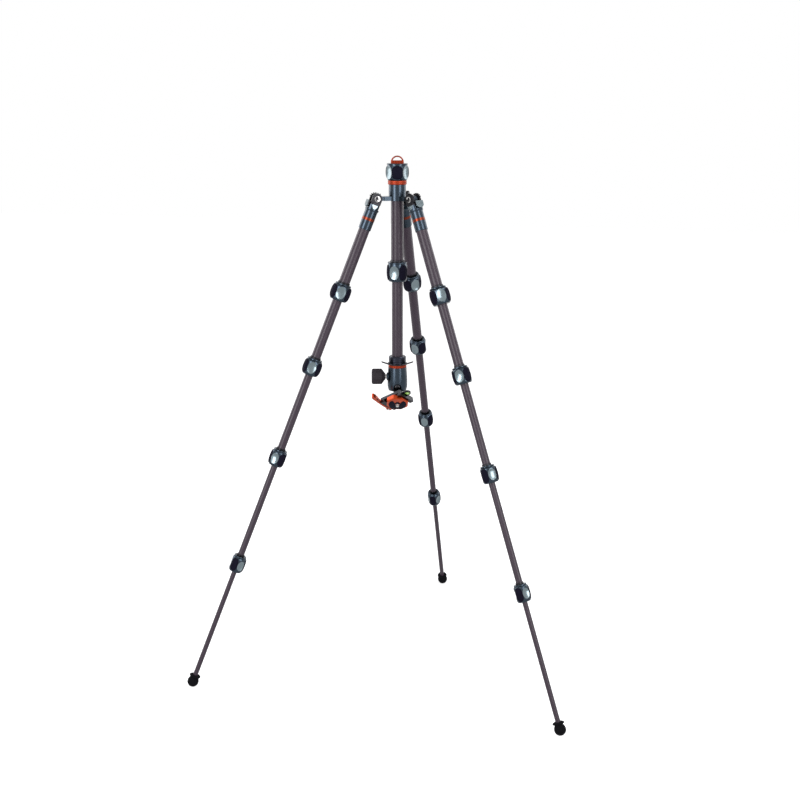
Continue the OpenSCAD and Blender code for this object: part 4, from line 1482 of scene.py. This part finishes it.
@dataclass
class Column:
    """The two-part centre column with its twist lock, platform, guard plate and bag hook.

    Drops are in millimetres below the hinges' level and tops above it. The guard's swells are
    how far its faces bulge, against the share of the way from its bend to its outline.
    """

    outer_r: float = 12.5
    inner_r: float = 11
    lock_drop: float = 143
    lock_r: float = 21.3
    lock_h: float = 38
    lock_turn: float = 50
    overlap: float = 30
    guard_drop: float = 330
    guard_t: float = 1.6
    guard_r: float = 36
    guard_hub_r: float = 19.5
    guard_bend_r: float = 17.6
    guard_bore_r: float = 5
    guard_lobe_r: float = 8
    guard_root: float = 12.5
    guard_rise: float = 23
    guard_swells: Profile = ((0, 0), (0.3, 0.4), (0.97, 0.5), (1, 0))
    guard_steps: int = 120
    reach_steps: int = 140
    platform_r: float = 17.35
    platform_h: float = 16
    knob_top: float = 66.65
    hook_w: float = 25
    hook_wire_r: float = 1.4
    hook_rise: float = 2.2
    hook_swell: float = 0.32
    hook_from: float = -8
    hook_sweep: float = 196
    hook_steps: int = 40
    hook_sides: int = 16

    def build(self) -> None:
        """Make and dress the column's pieces."""
        self.tubes()
        self.lock()
        self.platform()
        self.guard()
        self.hook()

    @property
    def lock_end(self) -> LockEnd:
        """The upper tube's end at the column's lock."""
        return LockEnd(self.lock_h, self.outer_r, self.inner_r)

    def tubes(self) -> None:
        """Make both tubes, the upper one's plug and the ferrule and wedge at its lock."""
        node = "column_outer_tube"
        upper = Tube(self.outer_r, self.inner_r + 0.3, -self.lock_drop + 2, self.knob_top - 3)
        place_on("upper_column", upper.build(node + "_carbon", LAYOUT.column), node)
        self.lock_end.build("upper_column", node, LAYOUT.down @ shift(z=self.lock_drop))
        top, r, bore = self.knob_top, self.outer_r, self.inner_r + 0.25
        plug = [(0, top + 3.8), (2.7, top + 3.8), (3, top + 3.5), (3, top), (r - 0.6, top),
                (r, top - 0.6), (r, top - 3), (bore, top - 3), (bore, top - 10.6),
                (bore - 0.4, top - 11), (0, top - 11)]
        place_on("upper_column", lathe(node + "_plug", LAYOUT.column, METAL, plug), node)
        lower = Tube(self.inner_r, self.inner_r - LAYOUT.wall,
                     -self.guard_drop + self.guard_t / 2 + 4, -self.lock_drop + self.overlap)
        place_on("lower_column", lower.build("column_inner_tube_carbon", LAYOUT.column),
                 "column_inner_tube")

    def lock(self) -> None:
        """Make the column's twist lock."""
        grip = Grip(self.lock_r, self.lock_h, self.lock_turn, Flange.COLUMN, self.lock_end.bores)
        grip.build("column_lock", LAYOUT.down @ shift(z=self.lock_drop))

    def platform(self) -> None:
        """Make the mounting platform with its groove and its threaded stud."""
        foot = -self.guard_drop + self.guard_t / 2
        r, top, bore = self.platform_r, foot + self.platform_h, self.inner_r + 0.05
        groove = [(r, foot + 5.2), (r - 0.45, foot + 5.5), (r - 0.45, foot + 6), (r, foot + 6.3)]
        profile = [(0, foot - 12), (4, foot - 12), (4.5, foot - 11.5), (4.5, foot),
                   (r - 0.5, foot), (r, foot + 0.5), *groove, (r, top - 2), (r - 2, top),
                   (bore + 0.3, top), (bore, top - 0.3), (bore, foot + 4), (0, foot + 4)]
        body = lathe("mounting_platform_turned", LAYOUT.column, NAVY, profile, 96)
        thread = tree_of(Rows.THREAD).grow(
            "mounting_platform_thread", LAYOUT.column @ shift(z=foot - 11.6), NAVY,
            turns=7.0, radius=4.45, height=11.4, ridge=0.3)
        place_on("lower_column", joined("mounting_platform_body", body, thread),
                 "mounting_platform")

    def guard(self) -> None:
        """Make the guard plate: a shallow dish cut to a hub and three lobes."""
        middle, hub_r = self.guard_r - self.guard_lobe_r, self.guard_hub_r
        slope = math.tan(math.radians(self.guard_rise))
        foot = -self.guard_drop - self.guard_t / 2

        def inside(p: Vector) -> bool:
            """Whether a point lies in one lobe, which points along X."""
            taper = self.guard_root + (self.guard_lobe_r - self.guard_root) * p.x / middle
            return (math.hypot(p.x - middle, p.y) < self.guard_lobe_r
                    or 0 < p.x < middle and abs(p.y) < taper)

        def reach(degrees: float) -> float:
            """The outline's radius at an angle."""
            steps = (hub_r + (self.guard_r - hub_r) * k / self.reach_steps
                     for k in range(self.reach_steps))
            return max((r for r in steps if any(inside(polar(r, degrees - 90 - 120 * i, 0))
                                                for i in range(3))), default=hub_r)

        angles = [360 * k / self.guard_steps for k in range(self.guard_steps)]
        edges = [(degrees, reach(degrees)) for degrees in angles]

        def row(share: float, lift: float) -> list[Vector]:
            """A row of points between the bend and the outline, on one of the faces."""
            out = []
            for degrees, far in edges:
                r = self.guard_bend_r + (far - self.guard_bend_r) * share
                out.append(polar(r, degrees, foot + lift + (r - self.guard_bend_r) * slope))
            return out

        bore = [[polar(self.guard_bore_r, degrees, foot + z) for degrees in angles]
                for z in (0, self.guard_t)]
        rows = [bore[0], *(row(share, -swell) for share, swell in self.guard_swells),
                *(row(share, self.guard_t + swell) for share, swell in self.guard_swells[::-1]),
                bore[1]]
        shell = Shell()
        shell.loft(rows + rows[:1])
        place_on("lower_column", shell.piece("guard_plate_dish", LAYOUT.column, BLACK),
                 "guard_plate")

    def hook(self) -> None:
        """Make the bag hook: a wire bow that thickens toward its base."""
        base, wire_r = self.knob_top + 0.15, self.hook_wire_r
        rows = []
        for i in range(self.hook_steps + 1):
            a = math.radians(self.hook_from + self.hook_sweep * i / self.hook_steps)
            swell = 1 + self.hook_swell - self.hook_swell * max(math.sin(a), 0) ** 0.5
            thick = wire_r * swell
            out = Vector((math.cos(a), 0, math.sin(a)))
            middle = out * (self.hook_w / 2 - wire_r) + Vector((0, 0, base + self.hook_rise))
            turns = (math.tau * k / self.hook_sides for k in range(self.hook_sides))
            row = [middle + out * thick * 0.92 * math.cos(t) + Vector((0, thick * math.sin(t), 0))
                   for t in turns]
            rows.append([Vector((p.x, p.y, max(p.z, base + 0.02))) for p in row])
        bow = Shell()
        bow.loft(rows, capped=True)
        wire = bow.piece("bag_hook_bow", LAYOUT.column, ORANGE, 60)
        place_on("bag_hook", joined("bag_hook_loop", refined("bag_hook", ORANGE, 0.3), wire),
                 "bag_hook")


# Ball head


@dataclass
class BallHead:
    """The inverted ball head: pan base, housing, lock knob, ball, neck, clamp and plate.

    The plate's face, the dovetail's foot, the lever's underside and the screw's head are levels
    in millimetres along the neck from the ball's middle.
    """

    ball_r: float = 15
    knob_rise: float = 19.5
    knob_r: float = 15.8
    knob_reach: float = 52
    flute_low: float = 32.2
    plate_face: float = 43.5
    screw_r: float = 3.175
    screw_out: float = 5.2
    screw_head: float = 34.2
    level_at: Point = (-3, 29.4, 29.75)
    pivot: Point = (12, -35.2, 36.6)
    lever_low: float = 27.8
    lever_l: float = 58
    plate_l: float = 43
    plate_w: float = 42
    corner_cut: float = 12.2
    slab_t: float = 4.7
    dove_w: float = 38
    dove_foot: float = 33.3
    dove_in: float = 5.2
    plate_steps: int = 144

    def build(self) -> None:
        """Make and dress the head's pieces."""
        dress("lower_column", "head_base", ORANGE, 0.3)
        dress("ball_housing", "head_housing", METAL, 0.45)
        self.lock_knob()
        self.ball()
        self.clamp()
        self.slab()
        self.inlay()
        self.screw()

    def lock_knob(self) -> None:
        """Make the ball lock's knob: a steel shaft with turned rings and a fluted rubber grip."""
        node = "head_lock_knob"
        place = LAYOUT.column @ shift(z=-LAYOUT.ball_drop + self.knob_rise) @ turn("Y", -90)
        r, end = self.knob_r, self.knob_reach
        rings: list[Pair] = []
        for i in range(3):
            z = 21.7 + 0.95 * i
            rings += [(4, z), (5.2, z + 0.15), (5.2, z + 0.6), (4, z + 0.75)]
        shaft = [(0, 15), (3.6, 15), (4, 15.4), (4, 21.5), *rings, (4, 24.7), (0, 24.7)]
        steel = lathe(node + "_shaft", place, STEEL, shaft, 48)
        grip = [(0, 24.6), (6.4, 24.6), (7.1, 24.9), (7.6, 26), (r - 2.4, 30.2), (r - 0.9, 31.4),
                (r - 0.45, 32.6), (r - 0.45, end - 2.6), (r - 0.8, end - 1.3),
                (r - 2.2, end - 0.2), (r - 4, end), (r - 5, end - 0.5), (0, end - 0.5)]
        rubber = lathe(node + "_grip", place, KNOB_RUBBER, grip, 96, crease=50)
        low, high = self.flute_low, end - 2.4
        ribs = tree_of(Rows.RING).grow(
            node + "_flutes", place @ shift(z=(low + high) / 2), KNOB_RUBBER,
            count=30, radius=r - 0.62, width=1.25, length=high - low)
        place_on(node, steel, node)
        place_on(node, joined(node + "_rubber", rubber, ribs), node)

    def ball(self) -> None:
        """Make the polished ball, and the neck with its turned collar."""
        r = self.ball_r
        ball = [(0, -r), *(tuple(polar(r, a, 0).xy) for a in range(-87, 88, 3)), (0, r)]
        # The ball's chrome is tinted dark: painted shade for the housing's dark inside, which it
        # reflects.
        place_on("ball", lathe("head_ball_polished", LAYOUT.ball, CHROME_PAINTED_SHADE, ball, 96,
                               crease=60), "head_ball")
        neck = [(0, 15.25), (4.5, 14.5), (4.5, 17.2), (4.2, 17.4), (4.2, 17.8), (4.5, 18),
                (4.5, 20.3), (5, 20.9), (8.6, 22.4), (9, 22.7), (9, 23), (0, 23)]
        place_on("neck", lathe("ball_neck_turned", LAYOUT.ball, BLACK, neck, 64), "ball_neck")

    def clamp(self) -> None:
        """Dress the clamp's body, jaw, lever and level."""
        body = refined("clamp_body", BLACK, 0.4)
        cap = ((0, -0.6), (2.3, -0.6), (2.3, 0.5), (1.9, 0.95), (0, 1.1))
        pin = lathe("clamp_pin_cap", LAYOUT.clamp @ shift(*self.pivot), STEEL, cap, 32)
        place_on("clamp", joined("clamp_body_dressed", body, pin), "clamp_body")
        dress("clamp_jaw", "clamp_jaw", BLACK, 0.4)
        self.lever()
        self.level()

    def lever(self) -> None:
        """Make the clamp lever: a cam and a bowed arm that broadens into a grip."""
        place = LAYOUT.clamp @ shift(self.pivot[0], self.pivot[1])
        middle = ((1.5, 0), (2.2, 0.3), (3.4, 0.55), (6.2, 0.76), (8.3, 0.95), (8.8, 1))
        width = ((2.4, 0), (2.1, 0.3), (2, 0.55), (2.8, 0.74), (3.4, 0.88), (2.6, 0.97), (1, 1))
        steps = [k / 40 for k in range(41)]
        outline = [(-self.lever_l * t, along(middle, t) + side * along(width, t))
                   for side, shares in ((1, steps), (-1, steps[::-1])) for t in shares]
        low, high = self.lever_low, self.pivot[2] - 0.02
        shell = Shell()
        shell.block([[Vector((x, y, z)) for x, y in outline] for z in (low, high)])
        arm = shell.piece("clamp_lever_arm", place, PLATE, 30)
        cam = ((2.5, low), (5.5, low), (6, low + 0.5), (6, high - 0.5), (5.5, high), (2.5, high))
        hub = lathe("clamp_lever_cam", place @ shift(y=1.5), PLATE, cam, 48, True)
        place_on("clamp_lever", joined("clamp_lever_bowed", arm, hub), "clamp_lever")

    def level(self) -> None:
        """Make the bubble level: a domed vial with its bubble."""
        place = LAYOUT.clamp @ shift(*self.level_at)
        vial = ((0, -1.15), (4.5, -1.15), (4.6, -1), (4.6, 1.15), (4.2, 1.5), (3, 1.85),
                (1.5, 2.05), (0, 2.1))
        place_on("clamp", lathe("bubble_level_vial", place, FLUID, vial, 48, crease=50),
                 "bubble_level")
        bubble = ((0, -0.2), (1.4, -0.1), (1.5, 0.05), (1, 0.22), (0, 0.3))
        place_on("clamp", lathe("bubble_level_bubble", place @ shift(0.7, 0.4, 1.95), BUBBLE,
                                bubble, 32, crease=50), "bubble_level")

    def slab_row(self, z: float, inset: float, wide: float = FAR) -> list[Vector]:
        """The camera plate's outline at one level.

        Args:
            z: The level.
            inset: How far the outline is drawn in.
            wide: The width that it is narrowed to.

        Returns:
            The outline's points.
        """
        x, y = self.plate_l / 2 - inset, self.plate_w / 2 - inset
        corner = x + y - self.corner_cut + inset / 2
        out = []
        for k in range(self.plate_steps):
            degrees = 360 * k / self.plate_steps
            c, s = (abs(f(math.radians(degrees))) for f in (math.cos, math.sin))
            r = min(x / max(c, 0.01), y / max(s, 0.01), corner / (c + s), wide / 2 / max(s, 0.01))
            out.append(polar(r, degrees, z))
        return out

    def slab(self) -> None:
        """Make the eight-sided camera plate on its dovetail, bored for the screw."""
        def bore(r: float, z: float) -> list[Vector]:
            """A level of the bore."""
            return [polar(r, 360 * k / self.plate_steps, z) for k in range(self.plate_steps)]

        face, foot = self.plate_face, self.dove_foot
        top, wide = face - self.slab_t, self.dove_w
        outlines = ((face, 1.3), (face - 1, 0.25), (top + 0.9, 0), (top + 0.2, 0), (top, 0.3),
                    (top, 0.3, wide - self.dove_in), (foot + 3.9, 0.3, wide - self.dove_in),
                    (foot + 1.3, 0.3, wide), (foot, 0.3, wide))
        rows = [bore(3.3, face), *(self.slab_row(*outline) for outline in outlines),
                bore(6.8, foot), bore(6.8, foot + 3), bore(3.3, foot + 3)]
        shell = Shell()
        shell.loft(rows + rows[:1])
        place_on("camera_plate", shell.piece("camera_plate_slab", LAYOUT.clamp, PLATE, 20),
                 "camera_plate")

    def inlay(self) -> None:
        """Make the plate's rubber inlay, notched on one side."""
        face = self.plate_face
        right = ((0.21, -0.44), (0.37, -0.27), (0.43, 0), (0.38, 0.21), (0.27, 0.31), (0.2, 0.24),
                 (0.13, 0.09))
        shares = [*right, (0, 0.25), *((-x, y) for x, y in reversed(right))]
        shell = Shell()
        levels = ((face + 0.02, 1), (face + 0.5, 1), (face + 0.65, 0.985))
        shell.block([[Vector((x * self.plate_w * s, y * self.plate_w * s, z)) for x, y in shares]
                     for z, s in levels],
                    [[polar(4.4, 15 * k, z) for k in range(24)] for z, _ in levels])
        pad = shell.piece("camera_plate_inlay", LAYOUT.clamp @ turn("Z", 45), RUBBER)
        place_on("camera_plate", pad, "camera_plate")

    def screw(self) -> None:
        """Make the camera screw: a head in the plate and a threaded shank out of it."""
        face, head, end = self.plate_face, self.screw_head, self.plate_face + self.screw_out
        shank = [(0, head - 1), (6.1, head - 1), (6.5, head - 0.6), (6.5, head + 1.6),
                 (6.1, head + 2), (2.7, head + 2), (2.7, face - 0.4), (2.85, face),
                 (2.85, end - 0.5), (2.4, end), (0, end)]
        body = lathe("camera_screw_shank", LAYOUT.clamp, STEEL, shank, 48)
        thread = tree_of(Rows.THREAD).grow(
            "camera_screw_thread", LAYOUT.clamp @ shift(z=face + 0.1), STEEL,
            turns=3.7, radius=self.screw_r - 0.36, height=self.screw_out - 0.6, ridge=0.34)
        place_on("camera_screw", joined("camera_screw_body", body, thread), "camera_screw")


# Studio


class Softbox(Enum):
    """Each lamp's bearing and rise in degrees, width and height in metres, and radiance."""

    KEY = (-113, 18, 0.85, 2, 7.5)
    FILL = (-37, 18, 0.85, 2, 6)
    REAR_RIGHT = (45, 18, 0.8, 2, 2.6)
    REAR_LEFT = (165, 18, 1.5, 2, 2.8)
    OVERHEAD = (3, 53, 1, 0.8, 5)


@dataclass
class Studio:
    """A pale seamless floor, soft lamps and the camera of the photograph.

    Places are in metres, angles in degrees and the lens in millimetres. The paper's glow rises
    from its nearest to its farthest value.
    """

    lens: float = 52.84
    distance: float = 2.313
    azimuth: float = 14.95
    height: float = 1.1637
    pitch: float = 14.2
    yaw: float = 0.13
    world: float = 0.3
    paper: float = 0.42
    paper_rise: float = 0.4
    paper_far: float = 0.85
    floor_half: float = 9
    floor_z: float = -0.0002
    white: tuple[float, float, float, float] = (1, 1, 1, 1)
    aim: Point = (0, -0.1, 0.6)
    reach: float = 2.3

    def build(self) -> None:
        """Make the studio."""
        scene = bpy.context.scene
        scene.view_settings.view_transform = "Standard"
        self.backdrop(scene)
        self.floor()
        self.lamps()
        self.camera(scene)

    def backdrop(self, scene: bpy.types.Scene) -> None:
        """Make the world: white where it is seen, plain soft light elsewhere."""
        scene.world = bpy.data.worlds.new("studio")
        net = Net(scene.world)
        seen = net.math("MINIMUM", net.rays("Camera", "Glossy", "Transmission"), 1)
        light = net.node("Background", {"Color": self.white,
                                        "Strength": seen * (1 - self.world) + self.world})
        net.node("OutputWorld", {"Surface": light})

    def floor(self) -> None:
        """Make the floor, which keeps the object's shadow."""
        mesh = bpy.data.meshes.new("studio_floor")
        corners = [(x * self.floor_half, y * self.floor_half, self.floor_z)
                   for x, y in ((-1, -1), (1, -1), (1, 1), (-1, 1))]
        mesh.from_pydata(corners, [], [(0, 1, 2, 3)])
        made = bpy.data.objects.new("studio_floor", mesh)
        bpy.context.scene.collection.objects.link(made)
        paper = bpy.data.materials.new("studio_paper")
        net = Net(paper)
        matt = net.node("BsdfDiffuse", {"Color": (0.8, 0.8, 0.82, 1)})
        away = net.node("VectorMath", {0: net.node("TexCoord", output="Object")}, "Value",
                        operation="LENGTH")
        glow = net.math("MINIMUM", away * self.paper_rise + self.paper, self.paper_far)
        pale = net.node("Emission", {"Color": self.white, "Strength": net.rays("Camera") * glow})
        lit = net.node("AddShader", {0: matt, 1: pale})
        white = net.node("Emission", {"Color": self.white, "Strength": 1.0})
        mixed = net.node("MixShader", {0: net.rays("Glossy", "Transmission"), 1: lit, 2: white})
        net.node("OutputMaterial", {"Surface": mixed})
        mesh.materials.append(paper)

    def lamps(self) -> None:
        """Hang the softboxes: a key and a fill in front, two behind and one overhead."""
        for box in Softbox:
            bearing, rise, width, height, radiance = box.value
            rise = math.radians(rise)
            way = polar(self.reach * math.cos(rise), bearing, self.reach * math.sin(rise))
            lamp = bpy.data.lights.new(box.name.lower(), "AREA")
            lamp.shape = "RECTANGLE"
            lamp.size, lamp.size_y = width, height
            lamp.energy = radiance * math.pi * width * height
            made = bpy.data.objects.new(lamp.name, lamp)
            made.location = Vector(self.aim) + way
            made.rotation_euler = way.to_track_quat("Z", "Y").to_euler()
            made.visible_camera = False
            bpy.context.scene.collection.objects.link(made)

    def camera(self, scene: bpy.types.Scene) -> None:
        """Stand the camera where the photograph was taken from."""
        eye = bpy.data.cameras.new("camera")
        eye.lens, eye.sensor_width = self.lens, 36
        eye.clip_start, eye.clip_end = 0.05, 60
        made = bpy.data.objects.new("camera", eye)
        around = math.radians(self.azimuth)
        axis = LAYOUT.hub.translation
        made.location = (axis.x + self.distance * math.sin(around),
                         axis.y - self.distance * math.cos(around), self.height)
        made.rotation_euler = (math.radians(90 - self.pitch), 0,
                               math.radians(self.azimuth - self.yaw))
        scene.collection.objects.link(made)
        scene.camera = made


def main() -> None:
    """Build the sub-assemblies in order, then the studio."""
    logging.basicConfig(level=logging.INFO, format="%(message)s")
    for part in (Leg(1, (20, 75, 60, 0)), Leg(2, (40, 45, 65, 10)), Leg(3, (35, 65, 25, 15)),
                 Hub(), Column(), BallHead(), Studio()):
        part.build()


if __name__ == "__main__":
    main()
